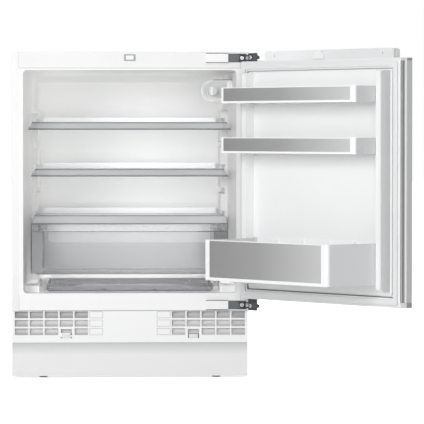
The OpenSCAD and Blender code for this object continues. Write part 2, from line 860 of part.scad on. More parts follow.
module switch_housing() {
  w = button_w / 2;
  h = button_h / 2;
  color("lightgray")
    difference() {
      union() {
        box(-w - 5, w + 5, front + 1, front + fascia_d, switch_z - h - 3, switch_z + h + 3);
        box(-w - 8, w + 8, front + fascia_wall + foam_gap, front + fascia_wall + 2,
          switch_z - h - 6, switch_z + h + 6);
      }
      box(-w - seat_gap, w + seat_gap, front - 1, front + fascia_d - 2,
        switch_z - h - seat_gap, switch_z + h + seat_gap);
    }
}
module switch_plunger() {
  w = button_w / 2;
  h = button_h / 2;
  color("white")
    box(-w, w, front - button_out, front + fascia_d - 2 - button_travel - 1, switch_z - h, switch_z + h);
}

comp_foot_w = 172;
comp_foot_d = 110;
module at_grommets() {
  for (x = [-1, 1])
    for (y = [-1, 1])
      translate([comp_x + x * (comp_foot_w / 2 - 14), comp_y + y * (comp_foot_d / 2 - 14), 0])
        children();
}
// Dome profile of outer radius r and height h, made smaller by g
module dome(r, h, g) {
  c = 26;
  polygon(concat([[0, g], [r - g - 8, g]], arc([r - 8, 8], 8 - g, -90, 0, 4),
    arc([r - c, h - c], c - g, 0, 90), [[0, h - g]]));
}
module compressor() {
  color("dimgray") {
    translate([comp_x, comp_y, comp_z])
      rotate_extrude()
        difference() {
          dome(comp_r, comp_h, 0);
          dome(comp_r, comp_h, comp_wall);
        }
    translate([comp_x, comp_y, comp_z + comp_h * 0.55])
      difference() {
        cylinder(h = 5, r = comp_r + 3);
        translate([0, 0, -1])
          cylinder(h = 7, r = comp_r - 1);
      }
    difference() {
      upright(comp_z - comp_wall, comp_z)
        translate([comp_x, comp_y])
          rounded(-comp_foot_w / 2, comp_foot_w / 2, -comp_foot_d / 2, comp_foot_d / 2, 12);
      at_grommets()
        translate([0, 0, pan_top])
          cylinder(h = 2 * grommet_h, r = grommet_r / 2);
    }
  }
}
module compressor_grommets() {
  color("black")
    at_grommets() {
      translate([0, 0, pan_top])
        cylinder(h = grommet_h, r = grommet_r);
      translate([0, 0, pan_top])
        cylinder(h = grommet_h + comp_wall, r = grommet_r / 2 - foam_gap);
      translate([0, 0, pan_top + grommet_h + comp_wall])
        cylinder(h = 3, r = grommet_r / 2 + 2);
    }
}
relay_d = 34;
relay_w = 48;
relay_h = 40;
module start_relay() {
  x1 = comp_x - comp_r + 6;
  z0 = comp_z + relay_h / 2;
  color("ivory")
    difference() {
      box(x1 - relay_d, x1, comp_y - relay_w / 2, comp_y + relay_w / 2, z0, z0 + relay_h);
      translate([comp_x, comp_y, comp_z])
        cylinder(h = comp_h, r = comp_r + foam_gap);
    }
}
function coil_point(layer, run, end) = let (r = layer % 2 == 0 ? run : coil_runs - 1 - run)
  [coil_x0 + r * coil_step, (run + layer) % 2 == end ? coil_y0 : coil_y1,
    pan_top + coil_r + seat_gap + layer * coil_rise];
module condenser_coil() {
  route = [for (layer = [0:coil_layers - 1]) for (run = [0:coil_runs - 1]) for (end = [0, 1])
    coil_point(layer, run, end)];
  color("black")
    tube(rounded_route(route, coil_rise / 2 - 1, 4), coil_r, [0, 0, 1], 6);
}
shroud_t = 4;
shroud_flange = 14;
module fan_shroud() {
  color("gray")
    difference() {
      union() {
        box(-shroud_t / 2, shroud_t / 2, shroud_y0, shroud_y1, pan_top, grille_z1 - sheet_t);
        translate([-shroud_flange, fan_y, fan_z])
          rotate([0, 90, 0])
            cylinder(h = shroud_flange, r = fan_r + 2.5);
        for (y = [shroud_y0, shroud_y1 - shroud_t])
          box(-shroud_flange, shroud_flange, y, y + shroud_t, pan_top, grille_z1 - sheet_t);
      }
      translate([-20, fan_y, fan_z])
        rotate([0, 90, 0])
          cylinder(h = 40, r = fan_r);
    }
}
motor_gap = 8;
module fan_motor() {
  color("dimgray")
    translate([motor_gap, fan_y, fan_z]) {
      difference() {
        rotate([0, 90, 0])
          cylinder(h = motor_l, r = motor_r);
        translate([-1, 0, 0])
          rotate([0, 90, 0])
            cylinder(h = motor_l / 2, r = pin_r + 0.05);
      }
      for (a = [30:120:270])
        rotate([a, 0, 0])
          box(shroud_t / 2 + foam_gap - motor_gap, 3, -4, 4, motor_r - 4, fan_r + 10);
    }
}
module fan_rotor() {
  color("lightslategray")
    translate([-hub_l, fan_y, fan_z]) {
      rotate([0, 90, 0])
        cylinder(h = hub_l, r = motor_r - 2);
      rotate([0, 90, 0])
        cylinder(h = hub_l + motor_gap + motor_l / 3, r = pin_r);
      for (i = [0:blade_count - 1])
        rotate([i * 360 / blade_count, 0, 0])
          translate([hub_l / 2, 0, 0])
            rotate([0, 0, 32])
              box(-1, 1, -hub_l * 0.75, hub_l * 0.75, motor_r - 6, fan_r - 4);
    }
}
evap_tray_w = 120;
evap_tray_y0 = comp_y - 50;
evap_tray_h = 20;
evap_tray_t = 2;
module evaporation_tray() {
  z0 = comp_z + comp_h + seat_gap;
  y1 = drain_y + 12;
  color("gray")
    difference() {
      upright(z0, z0 + evap_tray_h)
        rounded(comp_x - evap_tray_w / 2, comp_x + evap_tray_w / 2, evap_tray_y0, y1, 10);
      upright(z0 + evap_tray_t, z0 + evap_tray_h + 1)
        rounded(comp_x - evap_tray_w / 2 + evap_tray_t, comp_x + evap_tray_w / 2 - evap_tray_t,
          evap_tray_y0 + evap_tray_t, y1 - evap_tray_t, 8);
    }
}
module refrigerant_lines() {
  z = comp_z + 40;
  suction = [[comp_x + comp_r * 0.72, comp_y + comp_r * 0.74, z],
    [comp_x + comp_r + 8, comp_y + comp_r + 12, z], [comp_x + comp_r + 8, line_y, z],
    [line_x, line_y, z], [line_x, line_y, evap_z0 + 36]];
  color("peru")
    tube(rounded_route(suction, 10, 4), line_r, [0, 0, 1], 8);
}
drier_r = 9;
drier_l = 70;
drier_y = -70;
drier_z = pan_top + drier_r + 14;
module filter_drier() {
  color("peru")
    translate([comp_x, drier_y, drier_z])
      rotate([0, 90, 0]) {
        cylinder(h = drier_l, r = drier_r, center = true);
        cylinder(h = drier_l + 30, r = line_r, center = true);
      }
  color("silver")
    box(comp_x - 3, comp_x + 3, drier_y - 5, drier_y + 5, pan_top, drier_z - drier_r + 1);
}
inlet_x = -190;
inlet_w = 50;
inlet_h = 32;
inlet_deep = 30;
module power_inlet() {
  y1 = back - sheet_t - pan_t;
  color("black")
    difference() {
      box(inlet_x - inlet_w / 2, inlet_x + inlet_w / 2, y1 - inlet_deep, y1, pan_top, pan_top + inlet_h);
      box(inlet_x - 12, inlet_x + 12, y1 - 20, y1 + 1, pan_top + 8, pan_top + 24);
    }
}

cells_x1 = half_w - 7.6;
catch_col = 3;
module grille_cells(y0, y1, shrink, cols) {
  for (c = cols)
    for (r = [0:c == catch_col ? cell_rows - 2 : cell_rows - 1])
      box(cells_x1 - c * cell_pitch - cell_w + shrink, cells_x1 - c * cell_pitch - shrink, y0, y1,
        grille_z1 - 2 - r * cell_rise - cell_h + shrink, grille_z1 - 2 - r * cell_rise - shrink);
}
module catch_window() {
  x1 = cells_x1 - catch_col * cell_pitch - 3;
  box(x1 - 28, x1, front - 1, front + grille_t + 1, grille_z0 + 11, grille_z0 + 34);
}
// Slanting louvre behind each row of cells
module louvres() {
  x1 = cells_x1 + 1;
  x0 = cells_x1 - (cell_cols - 1) * cell_pitch - cell_w - 1;
  for (r = [0:cell_rows - 1]) {
    z1 = grille_z1 - 2 - r * cell_rise;
    z0 = z1 - cell_h;
    y1 = front + grille_d - 0.7;
    along(x0, x1)
      polygon([[front + 1, z0 - 0.4], [front + 1, z0 - 2.2], [front + grille_t + 1, z0 - 2.2], [y1, z1 - 4.6],
        [y1, z1 - 2.6], [y1 - 1.2, z1 - 2.6]]);
  }
}
// Free space behind the plate for the plinth's tab
module catch_pocket() {
  x1 = cells_x1 - catch_col * cell_pitch - 3;
  box(x1 - 28, x1, front + grille_t - seat_gap, front + grille_d + 1, grille_z0 - 1, grille_z0 + 23);
}
module vent_grille() {
  color("white")
    difference() {
      union() {
        box(-half_w, half_w, front, front + grille_t, grille_z0, grille_z1);
        both_sides()
          box(half_w - 2, half_w, front, front + grille_d, grille_z0, grille_z1);
        box(-half_w, half_w, front, front + grille_d, grille_z1 - 2, grille_z1);
        both_sides()
          difference() {
            grille_cells(front, front + grille_d, -1.4, [0:cell_cols - 1]);
            grille_cells(front - 1, front + grille_d + 1, 0, [0:cell_cols - 1]);
          }
        both_sides()
          louvres();
      }
      both_sides() {
        grille_cells(front - 1, front + grille_t + 1, 0, [0:cell_cols - 1]);
        difference() {
          grille_cells(front - 1, front + 0.6, 0, [cell_cols]);
          grille_cells(front - 2, front + 2, 1, [cell_cols]);
        }
        catch_window();
        catch_pocket();
      }
    }
}
module plinth_panel() {
  y0 = front + plinth_back;
  z1 = grille_z0 - seat_gap;
  color("gainsboro") {
    box(-half_w + 1, half_w - 1, y0, y0 + plinth_t, plinth_gap, z1);
    box(-half_w + 1, half_w - 1, y0, y0 + 10, z1 - 2, z1);
    both_sides()
      box(half_w - 3, half_w - 1, y0, y0 + 10, plinth_gap, z1);
    both_sides()
      plinth_tab();
  }
}
module plinth_tab() {
  x1 = cells_x1 - catch_col * cell_pitch - 5;
  y0 = front + grille_t + foam_gap;
  box(x1 - 24, x1, y0, y0 + 2, grille_z0 - 3, grille_z0 + 22);
  box(x1 - 22, x1 - 2, front + 1, y0 + 1, grille_z0 + 11 + seat_gap, grille_z0 + 21);
}

// Moves a closed-door shape to the opening angle that the door stands at
module swung() {
  translate([swing_x, swing_y, 0])
    rotate([0, 0, door_open])
      translate([-swing_x, -swing_y, 0])
        children();
}
function door_y(t) = door_in - t;
module door_skin() {
  z0 = door_z0 + cap_bottom_h;
  z1 = door_z1 - cap_top_h;
  color("lightgray")
    swung()
      difference() {
        upright(z0, z1)
          rounded(-door_x1, door_x1, door_out, door_y(door_t - skin_return), 2.5);
        upright(z0 - 1, z1 + 1)
          rounded(-door_x1 + sheet_t, door_x1 - sheet_t, door_out + sheet_t, door_in, 1.7);
      }
}
// Ridge that stands on the door's inner face, smaller by g
module door_ridge(g) {
  y1 = door_y(-ridge_d) - g;
  r = ridge_r - g;
  r1 = ridge_top_r - g;
  along(ridge_in + g, ridge_out - g)
    polygon(concat([[door_y(3), ridge_z0 + g]],
      arc([y1 - r, ridge_z0 + g + r], r, -90, 0), arc([y1 - r1, ridge_z1 - g - r1], r1, 0, 90),
      [[door_y(3), ridge_z1 - g]]));
}
lug_w = 5;
lug_h = 6;
lug_deep = 20;
// Frame round the door's inner face, w wide and e from its edges
module door_frame(e, w, t0, t1) {
  x = door_x1 - e;
  across(door_y(t1), door_y(t0))
    difference() {
      rounded(-x, x, door_z0 + e, door_z1 - e, 6);
      rounded(-x + w, x - w, door_z0 + e + w, door_z1 - e - w, 4);
    }
}
// Ring of the liner that carries the channel, larger by g
module channel_ring(g) {
  door_frame(channel_edge - door_liner_t - g, channel_w + 2 * (door_liner_t + g), 1,
    channel_d + door_liner_t + g);
}
edge_bands = [0.8, 3, 6, 12];
module door_liner() {
  z0 = door_z0 + cap_bottom_h;
  z1 = door_z1 - cap_top_h;
  t1 = door_t - skin_return - foam_gap;
  side = edge_groove + door_liner_t;
  color("white")
    swung() {
      difference() {
        union() {
          difference() {
            union() {
              box(-door_x1, door_x1, door_y(t1), door_in, z0, z1);
              box(-ridge_in - 1, ridge_in + 1, door_in - 1, door_y(-plateau_t), ridge_z0, ridge_z1);
              both_sides()
                door_ridge(0);
            }
            box(-door_x1 + side, door_x1 - side, door_y(t1 + 1), door_y(door_liner_t), z0 - 1, z1 + 1);
            both_sides()
              door_ridge(door_liner_t);
          }
          intersection() {
            channel_ring(0);
            box(-door_x1, door_x1, door_y(t1), door_in, z0, z1);
          }
        }
        door_frame(channel_edge, channel_w, -1, channel_d);
        both_sides()
          for (i = [0, 2])
            box(door_x1 - edge_groove, door_x1 + 1, door_y(edge_bands[i + 1]), door_y(edge_bands[i]),
              z0 - 1, z1 + 1);
      }
      both_sides()
        for (z = bin_z)
          box(ridge_in - lug_w, ridge_in + 1, door_y(-4), door_y(-4 - lug_deep),
            door_z0 + z - seat_gap - lug_h, door_z0 + z - seat_gap);
    }
}
module door_foam() {
  g = door_liner_t + foam_gap;
  s = sheet_t + foam_gap;
  side = edge_groove + g;
  t1 = door_t - skin_return;
  z0 = door_z0 + cap_bottom_h;
  z1 = door_z1 - cap_top_h;
  color("khaki")
    swung() {
      difference() {
        union() {
          box(-door_x1 + side, door_x1 - side, door_y(t1 + 1), door_y(g), z0, z1);
          both_sides()
            door_ridge(g);
        }
        channel_ring(foam_gap);
      }
      upright(z0, z1)
        rounded(-door_x1 + s, door_x1 - s, door_out + s, door_y(t1 + 0.2), 1.5);
    }
}
module door_gasket() {
  t = door_gap - gasket_gap;
  color("gray")
    swung() {
      door_frame(gasket_edge, gasket_w, -t, 2.2 - t);
      door_frame(gasket_edge + 3, gasket_w - 6, 2 - t, 0);
    }
}
module door_caps() {
  color("lightgray")
    swung() {
      difference() {
        upright(door_z1 - cap_top_h, door_z1)
          rounded(-door_x1, door_x1, door_out, door_in, 2.5);
        box(-door_x1 + 3, door_x1 - 3, door_out + 3, door_in - 3, door_z1 - cap_top_h - 1, door_z1 - 3);
      }
      difference() {
        upright(door_z0, door_z0 + cap_bottom_h)
          rounded(-door_x1, door_x1, door_out, door_in, 2.5);
        box(-door_x1 + 3, door_x1 - 3, door_out + 3, door_in - 3, door_z0 + 3,
          door_z0 + cap_bottom_h + 1);
      }
    }
}
rail_x0 = -door_x1 + rail_edge;
rail_x1 = door_x1 - rail_free;
rail_mid = (rail_x0 + rail_x1) / 2;
module rail_outline(g) {
  polygon(concat(arc([rail_x1 - g - rail_r, door_z1 + rail_h - g - rail_r], rail_r, 0, 90),
    arc([rail_x0 + g + rail_r, door_z1 + rail_h - g - rail_r], rail_r, 90, 180),
    [[rail_x0 + g, door_z1 + g], [rail_x1 - g, door_z1 + g]]));
}
module panel_rail() {
  color("white")
    swung()
      difference() {
        across(door_y(rail_in + rail_t), door_y(rail_in))
          rail_outline(0);
        across(door_y(rail_in + rail_t + 1), door_y(rail_in + rail_wall))
          rail_outline(rail_wall);
        box(rail_x0 - 1, rail_x0 + rail_wall + 1, door_y(rail_in + rail_t / 2), door_y(rail_in + 1),
          door_z1 + rail_wall, door_z1 + rail_h - 2 * rail_wall);
        for (x = [-1, 1])
          translate([rail_mid + x * rail_hole_pitch / 2, door_y(rail_in + rail_t / 2), door_z1 + rail_h / 2])
            rotate([90, 0, 0])
              cylinder(h = 2 * rail_t, r = rail_hole_r, center = true);
      }
}
module switch_actuator() {
  z0 = door_z1 + 2;
  color("white")
    swung()
      across(door_y(rail_in), door_y(rail_in - lug_t))
        polygon(concat([[lug_r, z0]], arc([0, z0], lug_r, 0, 180, 16)));
}

outer_closed = on_swing(outer_pin, outer_angle);
inner_closed = on_swing(inner_pin, inner_angle);
outer_pivot = link_pivot(outer_back, outer_angle);
inner_pivot = link_pivot(inner_back, inner_angle);
outer_l = link_length(outer_back, outer_pin);
inner_l = link_length(inner_back, inner_pin);
outer_slack = outer_pin + outer_back - outer_l;
inner_slack = inner_pin + inner_back - inner_l;
link_z = tongue_half + stack_gap;
ear_z = link_z + link_t + stack_gap;
// Puts a hinge at the top of the door and its mirror image at the bottom
module at_hinges() {
  translate([0, 0, hinge_top_z])
    children();
  translate([0, 0, hinge_bottom_z])
    mirror([0, 0, 1])
      children();
}
module pin_at(p, z0, z1, r) {
  translate([p.x, p.y, z0])
    cylinder(h = z1 - z0, r = r);
}
module ear(z0) {
  upright(z0, z0 + ear_t) {
    polygon([[inner_pivot.x - link_r - 1, front], [outer_pivot.x + link_r, front],
      [outer_pivot.x + link_r, outer_pivot.y - 1], [outer_pivot.x, outer_pivot.y - link_r],
      [inner_pivot.x, inner_pivot.y - link_r], [inner_pivot.x - link_r - 1, inner_pivot.y - 1]]);
  }
}
// Distances of the screw holes from the hinge plate's right end
plate_holes = [10, 60, 84];
hinge_hole_r = 2.4;
module hinge_hole(x, y) {
  translate([x, y, 0])
    rotate([90, 0, 0])
      cylinder(h = 4 * hinge_plate_t, r = hinge_hole_r, center = true);
}
module hinge_bases() {
  color("slategray")
    at_hinges() {
      difference() {
        box(hinge_x1 - hinge_l, hinge_x1, front - hinge_plate_t, front, -hinge_h / 2, hinge_h / 2);
        for (x = plate_holes)
          hinge_hole(hinge_x1 - x, front);
      }
      ear(ear_z);
      ear(-ear_z - ear_t);
      pin_at(outer_pivot, link_z + stack_gap / 2, ear_z + ear_t + 0.8, pin_r);
      pin_at(inner_pivot, -ear_z - ear_t, -link_z - stack_gap / 2, pin_r);
    }
}
module hinge_covers() {
  x0 = hinge_x1 - hinge_l - 3;
  x1 = x0 + cover_l;
  color("white")
    at_hinges()
      difference() {
        box(x0, x1, front - cover_t, front, -hinge_h / 2 - 1.4, hinge_h / 2 + 1.4);
        box(x0 + 1.5, x1 + 1, front - hinge_plate_t - foam_gap, front + 1, -hinge_h / 2 - foam_gap,
          hinge_h / 2 + foam_gap);
      }
}
// Link in its closed place from pivot p to door pin q, with a slot for the open pivot
module hinge_link(p, q, l, slack, z0) {
  a = atan2(q.y - p.y, q.x - p.x);
  e = l + slack + seat_gap;
  upright(z0, z0 + link_t)
    translate(p)
      rotate(a)
        difference() {
          union() {
            circle(link_r);
            translate([0, -link_r])
              square([e, 2 * link_r]);
            translate([e, 0])
              circle(link_r);
          }
          circle(pin_r + 0.05);
          translate([l - seat_gap, 0])
            circle(pin_r + 0.5);
          translate([l - seat_gap, -pin_r - 0.5])
            square([slack + 2 * seat_gap, 2 * pin_r + 1]);
          translate([e, 0])
            circle(pin_r + 0.5);
        }
}
// Turns a link from its closed place to the place that it has with the door open
module link_swung(p, back_r, pin) {
  turn = 2 * asin(pin * sin(door_open / 2) / link_length(back_r, pin));
  translate([p.x, p.y, 0])
    rotate([0, 0, turn])
      translate([-p.x, -p.y, 0])
        children();
}
module hinge_links_outer() {
  color("lightslategray")
    at_hinges()
      link_swung(outer_pivot, outer_back, outer_pin)
        hinge_link(outer_pivot, outer_closed, outer_l, outer_slack, link_z);
}
module hinge_links_inner() {
  color("lightslategray")
    at_hinges()
      link_swung(inner_pivot, inner_back, inner_pin)
        hinge_link(inner_pivot, inner_closed, inner_l, inner_slack, -link_z - link_t);
}
// Distances of the bracket's two ends from the door's hinge edge
bracket_s0 = 26;
bracket_s1 = 60;
bracket_hole = 35;
bracket_t = 2;
bracket_in = 1;
module door_bracket(edge) {
  x0 = door_x1 - bracket_s1;
  x1 = door_x1 - bracket_s0;
  t1 = bracket_in + bracket_t;
  b = pin_r + 3;
  box(x0, x1, door_y(door_t - 4), door_y(bracket_in), -edge, -edge + 1.2);
  difference() {
    box(x0, x1, door_y(t1), door_y(bracket_in), -edge, hinge_h / 2);
    hinge_hole(door_x1 - bracket_hole, door_y(t1));
  }
  upright(-tongue_half, tongue_half) {
    translate(outer_closed)
      circle(b);
    translate(inner_closed)
      circle(b);
    polygon([[x0 + 1, door_y(bracket_in + 1)], [x0 + 1, door_y(t1 + 8)],
      [outer_closed.x, outer_closed.y - b], [inner_closed.x, inner_closed.y - b],
      [inner_closed.x, inner_closed.y + b], [outer_closed.x, outer_closed.y + b],
      [door_x1 - bracket_hole - 6, door_y(t1 + 6)], [door_x1 - bracket_hole - 6, door_y(bracket_in + 1)]]);
  }
  pin_at(outer_closed, 0, link_z + link_t + stack_gap / 2, pin_r);
  pin_at(inner_closed, -link_z - link_t - stack_gap / 2, 0, pin_r);
}
module door_brackets() {
  color("slategray")
    swung() {
      translate([0, 0, hinge_top_z])
        door_bracket(hinge_top_z - door_z1);
      translate([0, 0, hinge_bottom_z])
        mirror([0, 0, 1])
          door_bracket(door_z0 - hinge_bottom_z);
    }
}

function bin_front(k) = bin_half + bin_flare[k];
// Plan of a bin: k picks the bin, g shrinks it
module bin_plan(k, g) {
  y0 = door_y(-3) + g;
  y1 = door_y(-bin_reach[k]) - g;
  w1 = bin_half - g;
  w0 = bin_front(k) - g;
  r = bin_r[k] - g;
  half = concat([[w1, y0], [w1, door_y(-ridge_d - 1)]], arc([w0 - r, y1 - r], r, 0, 90, 6));
  polygon(concat(half, flipped(half)));
}
module trim_form(k, y0, y1) {
  w = bin_front(k) - frame_w[k];
  z0 = door_z0 + bin_z[k];
  box(-w, w, y0, y1, z0 + frame_low[k], z0 + bin_h[k] - frame_top);
}
// Bin k, whose rear wall stands higher than its front by rise
module bin(k, rise) {
  z0 = door_z0 + bin_z[k];
  z1 = z0 + bin_h[k];
  y1 = door_y(-bin_reach[k]);
  color("white")
    swung() {
      difference() {
        upright(z0, z1)
          bin_plan(k, 0);
        upright(z0 + bin_wall, z1 + 1)
          bin_plan(k, bin_wall);
        trim_form(k, y1 - metal_t, y1 + 1);
      }
      if (rise > 0)
        box(-bin_half, bin_half, door_y(-3), door_y(-3 - bin_wall), z1 - 1, z1 + rise);
    }
}
module bin_trim(k) {
  y1 = door_y(-bin_reach[k]);
  color("silver")
    swung()
      trim_form(k, y1 - metal_t, y1);
}
// Ribs that divide the bottom bin at its rear
module bin_dividers() {
  pitch = 2 * bin_half / (divider_count + 1);
  z0 = door_z0 + bin_z[0] + bin_wall / 2;
  z1 = door_z0 + bin_z[0] + bin_h[0] + bin_rear_rise - divider_low;
  y0 = door_y(-3 - bin_wall / 2);
  y1 = door_y(-3 - bin_wall - divider_reach);
  color("white")
    swung()
      for (i = [1:divider_count])
        along(i * pitch - bin_half - bin_wall / 2, i * pitch - bin_half + bin_wall / 2)
          polygon([[y0, z0], [y0, z1], [y0 + divider_reach / 4, z1], [y1, z1 - divider_reach], [y1, z0]]);
}
module top_bin() {
  bin(2, 0);
}
module top_bin_trim() {
  bin_trim(2);
}
module middle_bin() {
  bin(1, 0);
}
module middle_bin_trim() {
  bin_trim(1);
}
module bottom_bin() {
  bin(0, bin_rear_rise);
  bin_dividers();
}
module bottom_bin_trim() {
  bin_trim(0);
}

// Glass of the shelf in groove i, from depth d
module shelf_glass(i, d) {
  color("lightcyan", 0.5)
    box(-glass_half, glass_half, front + d + 3, shelf_back, shelf_z(i), shelf_z(i) + glass_t);
}
// Front trim of height h and rear stop of the shelf in groove i, half as wide as w below
module shelf_trims(i, d, w, h) {
  z0 = shelf_z(i) - 2;
  z1 = shelf_z(i) + glass_t + trim_lip;
  z2 = z1 - h;
  y0 = front + d;
  stop = column_in - stop_gap;
  top = w - trim_slope;
  color("darkgray")
    difference() {
      intersection() {
        along(-w, w)
          polygon(concat([[y0 + trim_d, z1]], arc([y0 + 4, z1 - 4], 4, 90, 180, 4),
            arc([y0 + 4, z2 + 4], 4, 180, 270, 4), [[y0 + 7, z2], [y0 + 7, z0], [y0 + trim_d, z0]]));
        across(y0 - 1, y0 + trim_d + 1)
          polygon([[-w, z2], [w, z2], [w, z2 + 2], [top, z1 - 2], [top, z1], [-top, z1], [-top, z1 - 2],
            [-w, z2 + 2]]);
      }
      box(-glass_half, glass_half, y0 + 3, y0 + trim_d + 1, shelf_z(i), shelf_z(i) + glass_t);
    }
  color("white")
    across(shelf_back - stop_d, shelf_back)
      polygon([[-stop, shelf_z(i) + glass_t], [stop, shelf_z(i) + glass_t],
        [stop - 2, shelf_z(i) + glass_t + stop_h], [2 - stop, shelf_z(i) + glass_t + stop_h]]);
}
upper_trim_half = wall_half(shelf_d + trim_d) - upper_trim_gap;
lower_trim_half = wall_half(crisper_d + crisper_wall) - lower_trim_gap;
module upper_shelf() {
  shelf_glass(0, shelf_d);
}
module upper_shelf_trim() {
  shelf_trims(0, shelf_d, upper_trim_half, trim_h);
}
module lower_shelf() {
  shelf_glass(2, shelf_d);
}
module lower_shelf_trim() {
  shelf_trims(2, shelf_d, lower_trim_half, trim_h);
}
module crisper_cover() {
  shelf_glass(4, cover_d);
}
module crisper_cover_trim() {
  shelf_trims(4, cover_d, lower_trim_half, cover_trim_h);
}
crisper_half = column_in - crisper_gap;
crisper_z0 = floor_z + crisper_z;
crisper_z1 = shelf_z(4) + glass_t + trim_lip - cover_trim_h - crisper_clear;
module crisper_drawer() {
  y0 = front + crisper_d;
  runner_z = shelf_z(5);
  rim_z = crisper_z1 - crisper_rim_h;
  cut = crisper_half - crisper_r;
  color("lightgray", 0.6) {
    difference() {
      union() {
        across(y0, shelf_back)
          bowl(-crisper_half, crisper_half, crisper_z0, crisper_z1, crisper_r);
        across(y0, y0 + crisper_wall)
          bowl(-lower_trim_half, lower_trim_half, crisper_z0, rim_z + 1, crisper_r);
      }
      across(y0 + crisper_wall, shelf_back - crisper_wall)
        bowl(-crisper_half + crisper_wall, crisper_half - crisper_wall, crisper_z0 + crisper_wall,
          crisper_z1 + 1, crisper_r - crisper_wall);
      across(shelf_back - 2 * crisper_wall, shelf_back + 1)
        bowl(-cut, cut, crisper_z0 + crisper_rear_h, crisper_z1 + 1, crisper_r / 2);
    }
    across(y0 - crisper_rim_out, y0 + crisper_wall)
      rounded(-lower_trim_half, lower_trim_half, rim_z, crisper_z1, crisper_rim_h / 3);
    both_sides()
      box(crisper_half - 1, glass_half, front + column_d + 4, shelf_back, runner_z, runner_z + 3);
  }
}
tray_half = wall_half(floor_rail_d) - floor_rail_w - tray_gap;
tray_z1 = floor_z + seat_gap + tray_h;
// Floor tray, smaller by g and raised by g, open upwards where g is positive
module tray_form(g) {
  w = tray_half - g;
  y0 = front + tray_d + g;
  y1 = shelf_back - g;
  z0 = floor_z + seat_gap + g;
  z1 = tray_z1 + (g > 0 ? 1 : 0);
  intersection() {
    across(y0, y1)
      bowl(-w, w, z0, z1, tray_r - g);
    along(-w, w)
      polygon([[y0, z1], [y0 + tray_slope, z0], [y1, z0], [y1, z1]]);
  }
}
module floor_tray() {
  y1 = front + tray_d + tray_slope + tray_wall;
  color("dimgray", 0.7)
    difference() {
      tray_form(0);
      tray_form(tray_wall);
      both_sides()
        across(front + tray_d - 1, y1)
          polygon([[tray_half - tray_arch_l, tray_z1],
            [tray_half - tray_arch_l / 2, tray_z1 - tray_arch * 0.7],
            [tray_half + 1, tray_z1 - tray_arch], [tray_half + 1, tray_z1 + 1],
            [tray_half - tray_arch_l, tray_z1 + 1]]);
    }
}
module foot(x, y) {
  color("black")
    translate([x * (half_w - foot_side), y * (back - foot_end), 0]) {
      cylinder(h = foot_disc, r = foot_r);
      cylinder(h = pan_z - seat_gap, r = stem_r + 3.5, $fn = 6);
      cylinder(h = stem_l, r = stem_r);
    }
}
module front_left_foot() {
  foot(-1, -1);
}
module front_right_foot() {
  foot(1, -1);
}
module rear_left_foot() {
  foot(-1, 1);
}
module rear_right_foot() {
  foot(1, 1);
}

left_side();
right_side();
top_panel();
rear_panel();
base_pan();
foam_insulation();
inner_liner();
top_fascia();
bottom_rail();
evaporator_plate();
drain_tube();
lamp_housing();
lamp_lens();
lamp_board();
switch_housing();
compressor();
compressor_grommets();
start_relay();
condenser_coil();
fan_shroud();
fan_motor();
evaporation_tray();
refrigerant_lines();
filter_drier();
power_inlet();
vent_grille();
plinth_panel();
hinge_bases();
hinge_covers();
door_skin();
door_foam();
door_liner();
door_gasket();
door_caps();
panel_rail();
switch_actuator();
door_brackets();
hinge_links_outer();
hinge_links_inner();
top_bin();
top_bin_trim();
middle_bin();
middle_bin_trim();
bottom_bin();
bottom_bin_trim();
upper_shelf();
upper_shelf_trim();
lower_shelf();
lower_shelf_trim();
crisper_cover();
crisper_cover_trim();
crisper_drawer();
floor_tray();
thermostat_knob();
switch_plunger();
fan_rotor();
front_left_foot();
front_right_foot();
rear_left_foot();
rear_right_foot();
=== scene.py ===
import functools
import math
import bmesh
import bpy
from mathutils import Matrix, Vector


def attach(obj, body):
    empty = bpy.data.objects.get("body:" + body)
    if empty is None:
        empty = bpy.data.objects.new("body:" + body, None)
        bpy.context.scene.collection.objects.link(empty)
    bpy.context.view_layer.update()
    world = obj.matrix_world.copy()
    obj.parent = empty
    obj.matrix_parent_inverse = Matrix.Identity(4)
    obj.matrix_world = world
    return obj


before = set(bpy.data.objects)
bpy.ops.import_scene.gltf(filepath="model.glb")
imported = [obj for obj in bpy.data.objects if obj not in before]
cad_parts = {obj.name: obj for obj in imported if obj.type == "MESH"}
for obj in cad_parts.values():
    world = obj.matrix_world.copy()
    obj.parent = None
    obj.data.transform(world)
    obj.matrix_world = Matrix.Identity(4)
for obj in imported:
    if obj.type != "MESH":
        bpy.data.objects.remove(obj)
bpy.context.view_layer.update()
scene = bpy.context.scene
scene.view_settings.view_transform = "Standard"


# Camera, floor and light
view = {
    "place": (-0.030, -8.0905, 0.626),     # square to the cabinet, far off, as the photograph shows it
    "aim": (0.03037, 1.0, -0.02618),
    "lens": 262.8,
    "farthest": 200,
}
light = {
    "world": 0.46,
    "lamps": [                              # place, aim, size, watts
        ((-2.6, -4.9, 1.7), (0.1, -0.2, 0.5), 2.0, 114),
        ((1.2, -5.2, 1.4), (0.1, 0.0, 0.45), 2.0, 12),
        ((0.0, -5.8, 0.6), (0.0, 0.0, 0.5), 2.0, 46),
        ((0.4, 3.2, 2.6), (0.0, 0.0, 0.4), 2.6, 45),
    ],
    "fills": [                              # soften the cabinet's inside: place, size, height, watts
        ((0.0, -0.095, 0.5), 0.38, 0.46, 0.54),
        ((0.0, -0.165, 0.244), 0.42, 0.018, 0.26),
        ((0.0, -0.02, 0.244), 0.44, 0.014, 0.5),
    ],
    "floorHalf": 30.0,
    "floorTone": 0.9,
    "floorGlow": 0.8,                       # for the camera alone: a floor as white as the wall
}


def aimed(place, target):
    turn = (Vector(target) - Vector(place)).to_track_quat("-Z", "Y")
    return Matrix.Translation(place) @ turn.to_matrix().to_4x4()


